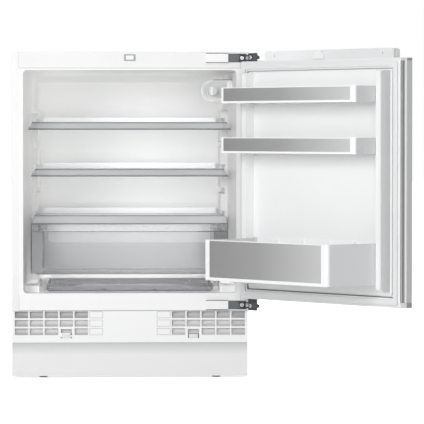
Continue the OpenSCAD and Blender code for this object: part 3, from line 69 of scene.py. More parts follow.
def setCamera():
    data = bpy.data.cameras.new("camera")
    data.lens = view["lens"]
    data.clip_end = view["farthest"]
    camera = bpy.data.objects.new("camera", data)
    scene.collection.objects.link(camera)
    place = Vector(view["place"])
    camera.matrix_world = aimed(place, place + Vector(view["aim"]))
    scene.camera = camera


def setLamp(name, place, target, shape, size, height, watts):
    data = bpy.data.lights.new(name, "AREA")
    data.shape = shape
    data.size = size
    data.size_y = height
    data.energy = watts
    lamp = bpy.data.objects.new(name, data)
    scene.collection.objects.link(lamp)
    lamp.matrix_world = aimed(place, target)
    return lamp


def setLamps():
    for index, (place, target, size, watts) in enumerate(light["lamps"]):
        setLamp("softLamp%d" % index, place, target, "DISK", size, size, watts)
    for index, (place, size, height, watts) in enumerate(light["fills"]):
        ahead = Vector(place) + Vector((0, 1, 0))
        lamp = setLamp("fillLamp%d" % index, place, ahead, "RECTANGLE", size, height, watts)
        lamp.visible_camera = False
        lamp.visible_glossy = False
        lamp.visible_transmission = False


# Shader maths: a wire wraps one socket and takes part in plain expressions
class Wire:
    def __init__(self, shade, socket):
        self.shade = shade
        self.socket = socket

    def __add__(self, other):
        return self.shade.maths("ADD", self, other)

    def __sub__(self, other):
        return self.shade.maths("SUBTRACT", self, other)

    def __rsub__(self, other):
        return self.shade.maths("SUBTRACT", other, self)

    def __mul__(self, other):
        return self.shade.maths("MULTIPLY", self, other)

    def __truediv__(self, other):
        return self.shade.maths("DIVIDE", self, other)

    def __pow__(self, other):
        return self.shade.maths("POWER", self, other)

    def __gt__(self, other):
        return self.shade.maths("GREATER_THAN", self, other)

    def __lt__(self, other):
        return self.shade.maths("LESS_THAN", self, other)


# Where the door hangs: half width, swing axis, inner face and edges when closed, and how far it stands open
door = {"half": 0.296, "swingX": 0.2922, "swingY": -0.2687, "inner": -0.2575, "low": 0.203, "high": 0.801,
        "turn": math.radians(127.5)}

# What the finishes share; sizes and depths in metres
texture = {"grain": 0.0007, "grainDepth": 0.00003, "detail": 3.0, "streakDetail": 6.0, "streakRough": 0.7}


# Builds one material, or the world, from expressions
class Shade:
    def __init__(self, name, owner=None):
        self.owner = owner or bpy.data.materials.new(name)
        self.owner.use_nodes = True
        self.tree = self.owner.node_tree
        self.tree.nodes.clear()

    def node(self, kind, settings=None, inputs=None, output=0):
        item = self.tree.nodes.new(kind)
        for key, value in (settings or {}).items():
            if key == "stops":
                self.fillRamp(item.color_ramp, value)
            else:
                setattr(item, key, value)
        for key, value in (inputs or {}).items():
            if isinstance(value, Wire):
                self.tree.links.new(value.socket, item.inputs[key])
            else:
                item.inputs[key].default_value = value
        return Wire(self, item.outputs[output]) if len(item.outputs) else None

    def fillRamp(self, ramp, stops):
        while len(ramp.elements) < len(stops):
            ramp.elements.new(0.5)
        for element, (place, colour) in zip(ramp.elements, stops):
            element.position = place
            element.color = colour

    # Object coordinates as three wires
    def spot(self):
        source = self.node("ShaderNodeTexCoord", output=3)
        split = self.tree.nodes.new("ShaderNodeSeparateXYZ")
        self.tree.links.new(source.socket, split.inputs[0])
        return [Wire(self, split.outputs[i]) for i in range(3)]

    # The same on the closed door: across from the middle, depth and height
    def doorSpot(self):
        x, y, z = self.spot()
        c, d = math.cos(door["turn"]), math.sin(door["turn"])
        sideways, forwards = x - door["swingX"], y - door["swingY"]
        return (sideways * c + forwards * d + door["swingX"], forwards * c - sideways * d + door["swingY"], z)

    # How far inside the door's outline
    def doorEdge(self, across, height):
        upright = self.least(height - door["low"], door["high"] - height)
        return self.least(door["half"] - self.size(across), upright)

    def maths(self, operation, *values):
        return self.node("ShaderNodeMath", {"operation": operation}, dict(enumerate(values)))

    def least(self, a, b):
        return self.maths("MINIMUM", a, b)

    def most(self, a, b):
        return self.maths("MAXIMUM", a, b)

    def size(self, a):
        return self.maths("ABSOLUTE", a)

    # How far a value lies from the nearest of some places
    def nearest(self, value, places):
        gaps = [self.size(value - place) for place in places]
        return functools.reduce(self.least, gaps)

    def wave(self, a):
        return self.maths("SINE", a)

    def place(self, scale=(1, 1, 1)):
        spot = self.node("ShaderNodeTexCoord", output=3)
        return self.node("ShaderNodeMapping", None, {"Vector": spot, "Scale": scale})

    def noise(self, size, detail=2.0):
        return self.node("ShaderNodeTexNoise", None,
                         {"Vector": self.place(), "Scale": 1.0 / size, "Detail": detail})

    # A noise drawn out along one direction
    def streaks(self, stretch, scale):
        return self.node("ShaderNodeTexNoise", None,
                         {"Vector": self.place(stretch), "Scale": scale,
                          "Detail": texture["streakDetail"], "Roughness": texture["streakRough"]})

    # Flat cells of many greys, as on galvanised sheet
    def spangle(self, scale):
        cells = self.node("ShaderNodeTexVoronoi", None, {"Vector": self.place(), "Scale": scale}, output=1)
        return self.node("ShaderNodeRGBToBW", None, {0: cells})

    # Unevenness in tone or polish
    def cloud(self, size):
        return self.noise(size, texture["detail"])

    def ramp(self, value, stops):
        return self.node("ShaderNodeValToRGB", {"stops": stops}, {0: value})

    def between(self, value, low, high, outLow=0.0, outHigh=1.0):
        return self.node("ShaderNodeMapRange", None, {0: value, 1: low, 2: high, 3: outLow, 4: outHigh})

    # From off to on as a wire goes from 0 to 1
    def pick(self, switch, off, on):
        return self.between(switch, 0.0, 1.0, off, on)

    def mix(self, factor, a, b, blend="MIX"):
        return self.node("ShaderNodeMix", {"data_type": "RGBA", "blend_type": blend},
                         {0: factor, 6: opaque(a), 7: opaque(b)}, output=2)

    # A noise's middle range spread over low to high
    def spread(self, noise, low=0.0, high=1.0, margin=0.3):
        return self.between(noise, margin, 1.0 - margin, low, high)

    def bump(self, height, distance):
        return self.node("ShaderNodeBump", None, {"Height": height, "Distance": distance})

    # The fine grain of a moulding
    def grain(self, depth=texture["grainDepth"]):
        return self.bump(self.noise(texture["grain"]), depth)

    def finish(self, **sockets):
        names = {"colour": "Base Color", "roughness": "Roughness", "metallic": "Metallic",
                 "normal": "Normal", "alpha": "Alpha", "coat": "Coat Weight",
                 "specular": "Specular IOR Level", "emission": "Emission Strength",
                 "glow": "Emission Color"}
        shader = self.node("ShaderNodeBsdfPrincipled", None,
                           {names[key]: value for key, value in sockets.items()})
        self.node("ShaderNodeOutputMaterial", None, {"Surface": shader})
        return self.owner


def grey(value):
    return (value, value, value, 1.0)


def opaque(colour):
    return colour if isinstance(colour, Wire) else (*colour[:3], 1.0)


def tinted(colour, factor):
    return opaque([c * factor for c in colour[:3]])


# A moulded plastic: faint flow marks in tone, fine grain in the bump
def plastic(name, colour, roughness, alpha=1.0):
    finish = {"flow": 0.16, "flowTone": 0.97, "smoother": 0.04, "rougher": 0.05, "grain": 0.0006,
              "depth": 0.00003}
    shade = Shade(name)
    flow = shade.cloud(finish["flow"])
    tone = shade.mix(shade.spread(flow), tinted(colour, finish["flowTone"]), colour)
    rough = shade.spread(flow, roughness - finish["smoother"], roughness + finish["rougher"], margin=0.25)
    return shade.finish(colour=tone, roughness=rough, alpha=alpha,
                        normal=shade.bump(shade.noise(finish["grain"]), finish["depth"]))


# A sprayed coat on sheet metal: orange peel in the bump
def paint(name, colour, roughness=0.28, peel=0.0035):
    finish = {"cloud": 0.3, "cloudTone": 0.98, "fine": 0.15, "rougher": 0.08, "peelDepth": 0.00006,
              "coat": 0.15}
    shade = Shade(name)
    cloud = shade.noise(finish["cloud"])
    fine = shade.noise(peel * finish["fine"], 1.0)
    tone = shade.mix(shade.spread(cloud), tinted(colour, finish["cloudTone"]), colour)
    rough = shade.spread(fine, roughness, roughness + finish["rougher"])
    return shade.finish(colour=tone, roughness=rough, coat=finish["coat"],
                        normal=shade.bump(shade.noise(peel, 1.0), finish["peelDepth"]))


# Brushed metal: streaks drawn out along one direction
def brushed(name, colour, streak):
    finish = {"scale": 26.0, "darker": 0.86, "lighter": 1.056, "rough": (0.44, 0.34), "cloud": 0.12,
              "handled": 0.05, "metallic": 0.9, "depth": 0.00004}
    shade = Shade(name)
    lines = shade.streaks(streak, finish["scale"])
    cloud = shade.noise(finish["cloud"])
    tone = shade.mix(shade.spread(lines), tinted(colour, finish["darker"]), tinted(colour, finish["lighter"]))
    rough = shade.spread(lines, *finish["rough"]) + shade.spread(cloud, 0.0, finish["handled"])
    return shade.finish(colour=tone, roughness=rough, metallic=finish["metallic"],
                        normal=shade.bump(lines, finish["depth"]))


# Zinc-plated pressed steel with a spangle and dull edges
def plated(name, colour, roughness=0.36, metallic=0.85, spangle=0.004):
    finish = {"cells": 0.35, "dust": 0.25, "fine": 0.0012, "darker": 0.86, "lighter": 1.1, "rougher": 0.14}
    shade = Shade(name)
    flat = shade.spangle(1 / spangle)
    fine = shade.cloud(finish["fine"])
    worn = flat * finish["cells"] + fine * finish["dust"]
    tone = shade.mix(worn, tinted(colour, finish["darker"]), tinted(colour, finish["lighter"]))
    return shade.finish(colour=tone, roughness=shade.pick(flat, roughness, roughness + finish["rougher"]),
                        metallic=metallic, normal=shade.bump(fine, texture["grainDepth"]))


def rubber(name, colour, roughness=0.6):
    finish = {"dust": 0.02, "dusty": (0.35, 0.75), "dustTone": 0.85, "worn": (0.3, 0.8), "rougher": 0.15,
              "fine": 0.0008, "depth": 0.00005}
    shade = Shade(name)
    dust = shade.noise(finish["dust"], 4.0)
    tone = shade.mix(shade.between(dust, *finish["dusty"]), colour, tinted(colour, finish["dustTone"]))
    rough = shade.between(dust, *finish["worn"], roughness, roughness + finish["rougher"])
    return shade.finish(colour=tone, roughness=rough,
                        normal=shade.bump(shade.noise(finish["fine"]), finish["depth"]))


def clearGlass(name, colour, alpha):
    finish = {"wave": 0.3, "depth": 0.0002, "rough": 0.04, "specular": 0.6}
    shade = Shade(name)
    wave = shade.noise(finish["wave"], 1.0)
    return shade.finish(colour=colour, roughness=finish["rough"], alpha=alpha, specular=finish["specular"],
                        normal=shade.bump(wave, finish["depth"]))


def insulation(name, colour):
    finish = {"cells": 700.0, "depth": 0.0003, "cloud": 0.05, "darker": 0.85, "rough": 0.85}
    shade = Shade(name)
    cells = shade.node("ShaderNodeTexVoronoi", {"feature": "SMOOTH_F1"},
                       {"Vector": shade.place(), "Scale": finish["cells"]})
    cloud = shade.cloud(finish["cloud"])
    return shade.finish(colour=shade.mix(cloud, tinted(colour, finish["darker"]), colour),
                        roughness=finish["rough"], normal=shade.bump(cells, finish["depth"]))


def floorShade():
    shade = Shade("paleFloor")
    seen = shade.node("ShaderNodeLightPath", output="Is Camera Ray")
    diffuse = shade.node("ShaderNodeBsdfDiffuse", None, {"Color": grey(light["floorTone"])})
    glow = shade.node("ShaderNodeEmission", None, {"Color": grey(1.0), "Strength": light["floorGlow"]})
    both = shade.node("ShaderNodeAddShader", None, {0: diffuse, 1: glow})
    picked = shade.node("ShaderNodeMixShader", None, {0: seen, 1: diffuse, 2: both})
    shade.node("ShaderNodeOutputMaterial", None, {"Surface": picked})
    return shade.owner


# Softer on the pieces than what the camera, a reflection or a clear pane shows of it
def setWorld():
    scene.world = bpy.data.worlds.new("studio")
    shade = Shade("studio", scene.world)
    rays = [shade.node("ShaderNodeLightPath", output=name)
            for name in ("Is Camera Ray", "Is Glossy Ray", "Is Transmission Ray")]
    strength = shade.pick(functools.reduce(shade.most, rays), light["world"], 1.0)
    background = shade.node("ShaderNodeBackground", None, {"Color": grey(1.0), "Strength": strength})
    shade.node("ShaderNodeOutputWorld", None, {"Surface": background})


def setFloor():
    half = light["floorHalf"]
    mesh = bpy.data.meshes.new("floor")
    mesh.from_pydata([(-half, -half, 0), (half, -half, 0), (half, half, 0), (-half, half, 0)], [],
                     [(0, 1, 2, 3)])
    floor = bpy.data.objects.new("floor", mesh)
    scene.collection.objects.link(floor)
    mesh.materials.append(floorShade())


setCamera()
setLamps()
setWorld()
setFloor()
print("camera, lamps and floor set")


# Moulded bins: white frame round the front, light grey ends
def binShade(name):
    finish = {"white": (0.95, 0.955, 0.96), "ends": (0.66, 0.67, 0.68), "endDepth": 0.009,
              "lowReach": 0.174, "highReach": 0.107, "lowEnds": 0.2255, "highEnds": 0.2385, "lowBelow": 0.36,
              "cloud": 0.14, "rough": (0.26, 0.34), "coat": 0.1}
    shade = Shade(name)
    across, depth, height = shade.doorSpot()
    low = height < finish["lowBelow"]
    reach = shade.pick(low, finish["highReach"], finish["lowReach"])
    behind = depth < reach + (door["inner"] - finish["endDepth"])
    halfWide = shade.pick(low, finish["highEnds"], finish["lowEnds"])
    outside = shade.size(across) > halfWide
    cloud = shade.cloud(finish["cloud"])
    tone = shade.mix(behind * outside, finish["white"], finish["ends"])
    return shade.finish(colour=tone, roughness=shade.spread(cloud, *finish["rough"], margin=0.25),
                        normal=shade.grain(), coat=finish["coat"])


# Brushed bin fronts, with a painted reflection that grades from darker at the hinge end to lighter at the
# free end
def binMetal(name):
    finish = {"dark": 0.29, "middle": 0.36, "light": 0.62, "middleAt": 0.45, "half": 0.24, "streak": 90,
              "scale": 22.0, "gleam": 0.12, "rough": (0.46, 0.36), "metallic": 0.35, "depth": 0.00003}
    shade = Shade(name)
    across, depth, height = shade.doorSpot()
    along = shade.between(across, finish["half"], -finish["half"])
    lines = shade.streaks((1, 1, finish["streak"]), finish["scale"])
    # painted reflection: the base tone runs from dark to light along the front
    base = shade.ramp(along, [(0.0, grey(finish["dark"])), (finish["middleAt"], grey(finish["middle"])),
                              (1.0, grey(finish["light"]))])
    streaked = shade.mix(shade.spread(lines, 0.0, finish["gleam"]), base, grey(1.0), "SOFT_LIGHT")
    return shade.finish(colour=streaked, roughness=shade.spread(lines, *finish["rough"]),
                        metallic=finish["metallic"], normal=shade.bump(lines, finish["depth"]))


# Grey shelf trims with a white stop at the rear, painted shade on their ends and undersides and painted light
# on the crisper cover's trim
def trimShade(name):
    finish = {"trim": (0.315, 0.32, 0.33), "stop": (0.87, 0.875, 0.88), "dark": (0.2, 0.205, 0.21),
              "stopFrom": 0.1, "endsFrom": 0.238, "undersides": [0.3851, 0.5091, 0.6291], "line": 0.0022,
              "coverFrom": 0.388, "coverTo": 0.43, "endShadeShare": 0.5, "undersideShadeShare": 0.75, "coverLightShare": 0.5,
              "coverLightLift": 1.45, "cloud": 0.12, "rough": (0.16, 0.26), "coat": 0.3}
    shade = Shade(name)
    x, y, z = shade.spot()
    cloud = shade.cloud(finish["cloud"])
    under = shade.nearest(z, finish["undersides"])
    dark = finish["dark"]
    # painted shade on the ends and along the undersides, painted light on the crisper cover's trim
    ends = (shade.size(x) > finish["endsFrom"]) * finish["endShadeShare"]
    cover = (z < finish["coverTo"]) * (z > finish["coverFrom"]) * finish["coverLightShare"]
    front = shade.mix(ends, finish["trim"], dark)
    front = shade.mix(cover, front, tinted(finish["trim"], finish["coverLightLift"]))
    front = shade.mix((under < finish["line"]) * finish["undersideShadeShare"], front, dark)
    tone = shade.mix(y > finish["stopFrom"], front, finish["stop"])
    return shade.finish(colour=tone, roughness=shade.spread(cloud, *finish["rough"]), coat=finish["coat"])


# Crisper: thin clear grey, with painted shade where the rim, the foot and the end walls are seen on edge
def crisperShade(name):
    finish = {"colour": (0.46, 0.465, 0.48), "line": (0.1, 0.1, 0.11), "end": (0.27, 0.275, 0.29),
              "clear": 0.13, "rim": 0.34, "ends": 0.62, "lineAlpha": 0.8, "most": 0.9, "rimFrom": 0.3668,
              "lineFrom": 0.3645, "footTo": 0.2588, "endsFrom": 0.2262, "flow": 0.16, "rough": (0.08, 0.14),
              "coat": 0.3}
    shade = Shade(name)
    x, y, z = shade.spot()
    flow = shade.cloud(finish["flow"])
    # painted shade: the line under the rim, the foot and the end walls darker and less clear
    line = (z > finish["lineFrom"]) * (z < finish["rimFrom"]) + (z < finish["footTo"])
    rim = z > finish["rimFrom"]
    ends = shade.size(x) > finish["endsFrom"]
    clear = shade.pick(rim, finish["clear"], finish["rim"])
    walled = ends * (z < finish["lineFrom"]) * (finish["ends"] - finish["clear"]) + clear
    alpha = shade.least(walled + line * finish["lineAlpha"], finish["most"])
    tone = shade.mix(ends, finish["colour"], finish["end"])
    tone = shade.mix(line, tone, finish["line"])
    return shade.finish(colour=tone, roughness=shade.spread(flow, *finish["rough"]), alpha=alpha,
                        coat=finish["coat"])


# Floor tray: clear grey, with painted shade where its ends and its front foot are seen on edge, and darker at
# two small spots on that foot
def trayShade(name):
    finish = {"colour": (0.26, 0.26, 0.28), "line": (0.09, 0.09, 0.1), "clear": 0.44, "lineAlpha": 0.36,
              "endsFrom": 0.2098, "footTo": 0.2178, "footFront": -0.148, "studs": 0.065, "studHalf": 0.0042,
              "studTo": 0.2215, "flow": 0.12, "rough": (0.08, 0.14), "coat": 0.4}
    shade = Shade(name)
    x, y, z = shade.spot()
    flow = shade.cloud(finish["flow"])
    # painted shade along the foot and the ends
    foot = (z < finish["footTo"]) * (y < finish["footFront"])
    stud = (shade.size(shade.size(x) - finish["studs"]) < finish["studHalf"]) * (z < finish["studTo"])
    edge = shade.least((shade.size(x) > finish["endsFrom"]) + foot + stud * (y < finish["footFront"]), 1.0)
    tone = shade.mix(edge, finish["colour"], finish["line"])
    return shade.finish(colour=tone, roughness=shade.spread(flow, *finish["rough"]), coat=finish["coat"],
                        alpha=edge * finish["lineAlpha"] + finish["clear"])


# Grille: white face; painted shade where the louvres lie back, graded against their lighting, more painted
# shade on the top row and outer cells, and painted light on the right half
def grilleShade(name):
    finish = {"face": (0.86, 0.86, 0.865), "front": grey(0.4), "middle": grey(0.7), "rear": grey(0.86),
              "depth": -0.2496, "darkLine": (0.4, 0.4, 0.41), "top": 0.1698, "grooveDepth": -0.2522,
              "slope": 0.0104, "topRow": 0.149, "topRowShade": 0.24, "outer": 0.2625, "outerCellShade": 0.14,
              "middleAt": 0.3, "rearAt": 0.8, "rightLightShare": 0.2, "rightLightTone": 0.9, "soft": 0.0003,
              "rough": 0.36}
    shade = Shade(name)
    x, y, z = shade.spot()
    groove = y > finish["grooveDepth"]
    recess = shade.between(y, finish["depth"] - finish["soft"], finish["depth"] + finish["soft"])
    slope = (y - finish["depth"]) / finish["slope"]      # 0 at a louvre's front foot, 1 at its rear top
    # painted shade and light: dark at a louvre's front foot, light at its rear top
    back = shade.ramp(slope, [(0.0, finish["front"]), (finish["middleAt"], finish["middle"]),
                              (finish["rearAt"], finish["rear"])])
    # painted shade on the top row and the outer cells, painted light on the right half
    topRow = (z > finish["topRow"]) * finish["topRowShade"]
    outerCells = (shade.size(x) > finish["outer"]) * finish["outerCellShade"]
    back = shade.mix(topRow + outerCells, back, grey(0.0))
    back = shade.mix((x > 0.0) * finish["rightLightShare"], back, tinted(finish["face"], finish["rightLightTone"]))
    marked = shade.least((z > finish["top"]) + groove, 1.0)
    face = shade.mix(marked, finish["face"], finish["darkLine"])
    return shade.finish(colour=shade.mix(recess, face, back), roughness=finish["rough"],
                        normal=shade.grain())


# Hinge cover: white with a shadow seam along its top and bottom edge
def coverShade(name):
    finish = {"face": (0.86, 0.86, 0.865), "darkLine": (0.08, 0.085, 0.09), "edge": 0.0016, "rough": 0.34,
              "edges": [0.8232, 0.7984, 0.1726, 0.1974]}
    shade = Shade(name)
    x, y, z = shade.spot()
    darkLine = shade.nearest(z, finish["edges"]) < finish["edge"]
    return shade.finish(colour=shade.mix(darkLine, finish["face"], finish["darkLine"]),
                        roughness=finish["rough"], normal=shade.grain())


# Door liner: white, with painted shade in its channel, in the grooves along the free edge and on the ridges'
# outer flanks
def doorLinerShade(name):
    finish = {"colour": (0.91, 0.912, 0.914), "channel": (0.22, 0.225, 0.23), "from": 0.0236, "to": 0.0264,
              "grooves": [(0.0, 0.9), (0.0022, 0.34), (0.0046, 0.95), (0.0088, 0.34), (0.0144, 0.95)],
              "side": 0.2895, "face": 0.0006, "bright": (0.5, 0.5, 0.51), "channelTop": 0.75,
              "ridgeShade": (0.65, 0.655, 0.66), "ridgeSide": 0.2605, "ridgeTo": 0.2626, "ridgeFrom": 0.2562,
              "ridgeTop": 0.0288, "bendShadeShare": 0.6, "span": 0.024, "step": 0.001, "cloud": 0.2,
              "cloudTone": 0.98, "rough": (0.3, 0.38)}
    shade = Shade(name)
    across, depth, height = shade.doorSpot()
    side = shade.size(across)
    cloud = shade.cloud(finish["cloud"])
    edge = shade.doorEdge(across, height)
    line = (edge > finish["from"]) * (edge < finish["to"])
    inward = door["inner"] - depth                       # how far outwards from the inner face
    steps = []
    for start, value in finish["grooves"]:
        along = start / finish["span"]
        steps += [(max(0.0, along - finish["step"]), steps[-1][1] if steps else grey(value)),
                  (along + finish["step"], grey(value))]
    bands = shade.ramp(inward * (1 / finish["span"]), steps)
    sides = (side > finish["side"]) * (inward > finish["face"])
    colour = finish["colour"]
    base = shade.mix(shade.spread(cloud), tinted(colour, finish["cloudTone"]), colour)
    # painted shade in the channel, darker at its bottom than at its top
    bright = height > finish["channelTop"]
    channel = shade.mix(bright, finish["channel"], finish["bright"])
    # painted shade on the ridges' outer flanks and their bends
    proud = depth - door["inner"]
    flankShade = (side > finish["ridgeSide"]) * (side < finish["ridgeTo"]) * (proud > finish["face"])
    bend = (side > finish["ridgeFrom"]) * (proud > finish["ridgeTop"]) * finish["bendShadeShare"]
    ridged = shade.mix(shade.least(flankShade + bend, 1.0), shade.mix(line, base, channel),
                       finish["ridgeShade"])
    return shade.finish(colour=shade.mix(sides, ridged, bands), normal=shade.grain(),
                        roughness=shade.spread(cloud, *finish["rough"]))


# End caps: white at the liner, dark at the skin's corner
def capShade(name):
    finish = {"colour": (0.8, 0.805, 0.81), "corner": (0.3, 0.305, 0.31), "from": 0.0215,
              "rough": 0.42, "grainDepth": 0.00004}
    shade = Shade(name)
    across, depth, height = shade.doorSpot()
    outer = (door["inner"] - depth) > finish["from"]
    return shade.finish(colour=shade.mix(outer, finish["colour"], finish["corner"]),
                        roughness=finish["rough"], normal=shade.grain(finish["grainDepth"]))


# Panel rail: moulded, with painted shade that deepens towards the free end
def railShade(name):
    finish = {"near": (0.86, 0.865, 0.87), "far": (0.74, 0.745, 0.75), "from": 0.12, "to": -0.06,
              "rough": 0.36}
    shade = Shade(name)
    across, depth, height = shade.doorSpot()
    # painted shade growing towards the free end
    along = shade.between(across, finish["from"], finish["to"])
    return shade.finish(colour=shade.mix(along, finish["near"], finish["far"]),
                        roughness=finish["rough"], normal=shade.grain())


# Cabinet liner: white, with painted shade on its side walls and shelf column fronts inside, and a faint
# painted glow of light on its walls, ceiling and floor
def linerShade(name):
    finish = {"colour": (0.88, 0.874, 0.872), "flankShade": 0.82, "from": 0.2, "to": 0.226, "inside": -0.249,
              "floor": 0.24, "rear": 0.16, "glow": (0.165, 0.164, 0.161), "glowFrom": -0.06, "glowTo": -0.25,
              "glowLow": 0.36, "glowHigh": 0.5, "columnFront": -0.0525, "ceiling": 0.76,
              "besideTray": 0.208, "besideRail": 0.2345, "besideFrom": -0.235, "besideShare": 0.8,
              "columnDepth": 0.0015, "columnSide": 0.2563, "columnShadeTone": 0.78, "columnGlow": 0.3,
              "rearGlow": 0.4, "ceilingFade": 0.02, "ceilingShare": 0.35, "cloud": 0.2, "cloudTone": 0.98,
              "rough": (0.32, 0.4)}
    shade = Shade(name)
    x, y, z = shade.spot()
    cloud = shade.cloud(finish["cloud"])
    inside = (y > finish["inside"]) * (z > finish["floor"])
    side = shade.size(x)
    flankShade = shade.between(side, finish["from"], finish["to"]) * inside * (y < finish["rear"])
    # painted shade on the shelf columns' fronts
    atColumn = shade.size(y - finish["columnFront"]) < finish["columnDepth"]
    front = atColumn * (side < finish["columnSide"]) * flankShade
    colour = finish["colour"]
    base = shade.mix(shade.spread(cloud), tinted(colour, finish["cloudTone"]), colour)
    # painted light: a faint fixed glow stands in for the lamp's light on the wall across from it, the ceiling
    # and the floor beside the tray
    across = shade.between(x, finish["glowFrom"], finish["glowTo"]) * inside
    across = across * shade.between(z, finish["glowLow"], finish["glowHigh"])
    across = across * (1.0 - (y > finish["rear"]) * (1 - finish["rearGlow"]))
    across = across * (1.0 - front * (1 - finish["columnGlow"]))
    ceiling = shade.between(z, finish["ceiling"] - finish["ceilingFade"], finish["ceiling"]) * inside
    beside = (side > finish["besideTray"]) * (side < finish["besideRail"])
    beside = beside * (z < finish["floor"]) * (y > finish["besideFrom"])
    paintedLightShare = across + ceiling * finish["ceilingShare"] + beside * finish["besideShare"]
    glow = shade.mix(shade.least(paintedLightShare, 1.0), grey(0.0), finish["glow"])
    tone = shade.mix(flankShade, base, tinted(colour, finish["flankShade"]))
    return shade.finish(colour=shade.mix(front, tone, tinted(colour, finish["columnShadeTone"])),
                        roughness=shade.spread(cloud, *finish["rough"]), normal=shade.grain(),
                        glow=glow, emission=1.0)


# Lamp: greyer face, a white painted highlight on the bezel round its left end, and a painted shadow line
# along its top
def lampShade(name):
    finish = {"bezelHighlight": (0.94, 0.94, 0.94), "face": (0.85, 0.85, 0.85), "darkLine": (0.14, 0.145, 0.15),
              "x": 0.215, "z": 0.729, "inner": 0.0235, "top": 0.7567, "rough": 0.3}
    shade = Shade(name)
    x, y, z = shade.spot()
    left, up = x - finish["x"], z - finish["z"]
    reach = (left * left + up * up) ** 0.5
    # painted highlight on the bezel round the left end
    bezelHighlight = (reach > finish["inner"]) * (left < 0.0)
    tone = shade.mix(bezelHighlight, finish["face"], finish["bezelHighlight"])
    # painted shadow line along the top
    darkLine = (z > finish["top"]) * (left > 0.0)
    return shade.finish(colour=shade.mix(darkLine, tone, finish["darkLine"]), roughness=finish["rough"],
                        normal=shade.grain())


# Thermostat knob: the lamp's grey with a narrow white upright bar across it
def knobShade(name):
    finish = {"disc": (0.62, 0.62, 0.62), "uprightBar": (0.86, 0.86, 0.86), "x": 0.2105, "half": 0.0026,
              "rough": 0.34}
    shade = Shade(name)
    x, y, z = shade.spot()
    uprightBar = shade.size(x - finish["x"]) < finish["half"]
    return shade.finish(colour=shade.mix(uprightBar, finish["disc"], finish["uprightBar"]),
                        roughness=finish["rough"], normal=shade.grain())


# Light switch: painted shade on the frame round its white key
def switchShade(name):
    finish = {"frame": (0.42, 0.425, 0.43), "cloud": 0.02, "darker": 0.92, "rough": 0.4}
    shade = Shade(name)
    # painted shade: the whole frame is dark grey
    tone = shade.mix(shade.noise(finish["cloud"]), tinted(finish["frame"], finish["darker"]), finish["frame"])
    return shade.finish(colour=tone, roughness=finish["rough"], normal=shade.grain())


# Cabinet front plastics: white with a faint seam where two pieces meet
def frontShade(name):
    finish = {"face": (0.87, 0.87, 0.875), "high": 0.92, "highFrom": 0.5, "darkLine": (0.45, 0.455, 0.46),
              "across": 0.2803, "low": 0.1722, "lip": (0.7838, 0.7862), "lipShare": 0.6, "cloud": 0.2,
              "cloudTone": 0.985, "rough": (0.3, 0.38)}
    shade = Shade(name)
    x, y, z = shade.spot()
    cloud = shade.cloud(finish["cloud"])
    lip = (z > finish["lip"][0]) * (z < finish["lip"][1]) * finish["lipShare"]
    darkLine = shade.least((shade.size(x) > finish["across"]) + (z < finish["low"]) + lip, 1.0)
    face = finish["face"]
    base = shade.mix(shade.spread(cloud), tinted(face, finish["cloudTone"]), face)
    base = shade.mix(z > finish["highFrom"], base, tinted(face, finish["high"]))
    return shade.finish(colour=shade.mix(darkLine, base, finish["darkLine"]),
                        roughness=shade.spread(cloud, *finish["rough"]), normal=shade.grain())


# Gasket: soft folds that follow the door's edges, with faint painted shade in their hollows
def gasketShade(name):
    finish = {"colour": (0.8, 0.805, 0.81), "darker": 0.97, "fold": 0.0042, "foldDepth": 0.00012,
              "fine": 0.0009, "fineShare": 0.2, "rough": 0.55}
    shade = Shade(name)
    across, depth, height = shade.doorSpot()
    edge = shade.doorEdge(across, height)
    folds = shade.wave(edge * (2 * math.pi / finish["fold"]))
    fine = shade.noise(finish["fine"]) * finish["fineShare"]
    # faint painted shade in the folds' hollows
    tone = shade.mix(shade.between(folds, -1.0, 1.0), tinted(finish["colour"], finish["darker"]),
                     finish["colour"])
    return shade.finish(colour=tone, roughness=finish["rough"],
                        normal=shade.bump(folds + fine, finish["foldDepth"]))


# Hinge plates: slate at the cabinet, paler towards the door, with painted shadow on the ears
def hingeShade(name, pale, slate):
    finish = {"from": 0.274, "to": 0.278, "earDepth": -0.2562, "middles": [0.8108, 0.185],
              "earHeight": 0.0074, "dark": (0.035, 0.038, 0.042), "spangle": 330.0, "fine": 0.0012,
              "cells": 0.12, "dust": 0.1, "rough": (0.44, 0.56), "metallic": 0.1}
    shade = Shade(name)
    x, y, z = shade.spot()
    flat = shade.spangle(finish["spangle"])
    fine = shade.cloud(finish["fine"])
    base = shade.mix(shade.between(x, finish["from"], finish["to"]), slate, pale)
    # painted shadow on the ears
    earShadow = (shade.nearest(z, finish["middles"]) > finish["earHeight"]) * (y < finish["earDepth"])
    tone = shade.mix(earShadow, base, finish["dark"])
    worn = shade.mix(flat * finish["cells"] + fine * finish["dust"], tone, grey(1.0), "SOFT_LIGHT")
    return shade.finish(colour=worn, roughness=shade.pick(flat, *finish["rough"]),
                        metallic=finish["metallic"], normal=shade.bump(fine, texture["grainDepth"]))


# Plinth: painted shadow under the grille's edge
def plinthShade(name):
    finish = {"colour": (0.78, 0.78, 0.78), "shade": (0.53, 0.533, 0.535), "tab": (0.74, 0.74, 0.74),
              "tabsFrom": 0.0905, "top": 0.0899, "shadowFade": 0.03, "peel": 0.0035, "peelDepth": 0.00005,
              "rough": 0.34, "coat": 0.1}
    shade = Shade(name)
    x, y, z = shade.spot()
    peel = shade.noise(finish["peel"], 1.0)
    # painted shadow fading down from the grille's edge
    shadowFade = shade.between(z, finish["top"] - finish["shadowFade"], finish["top"]) * (z < finish["top"])
    tone = shade.mix(shadowFade, finish["colour"], finish["shade"])
    tone = shade.mix(z > finish["tabsFrom"], tone, finish["tab"])
    return shade.finish(colour=tone, roughness=finish["rough"], coat=finish["coat"],
                        normal=shade.bump(peel, finish["peelDepth"]))


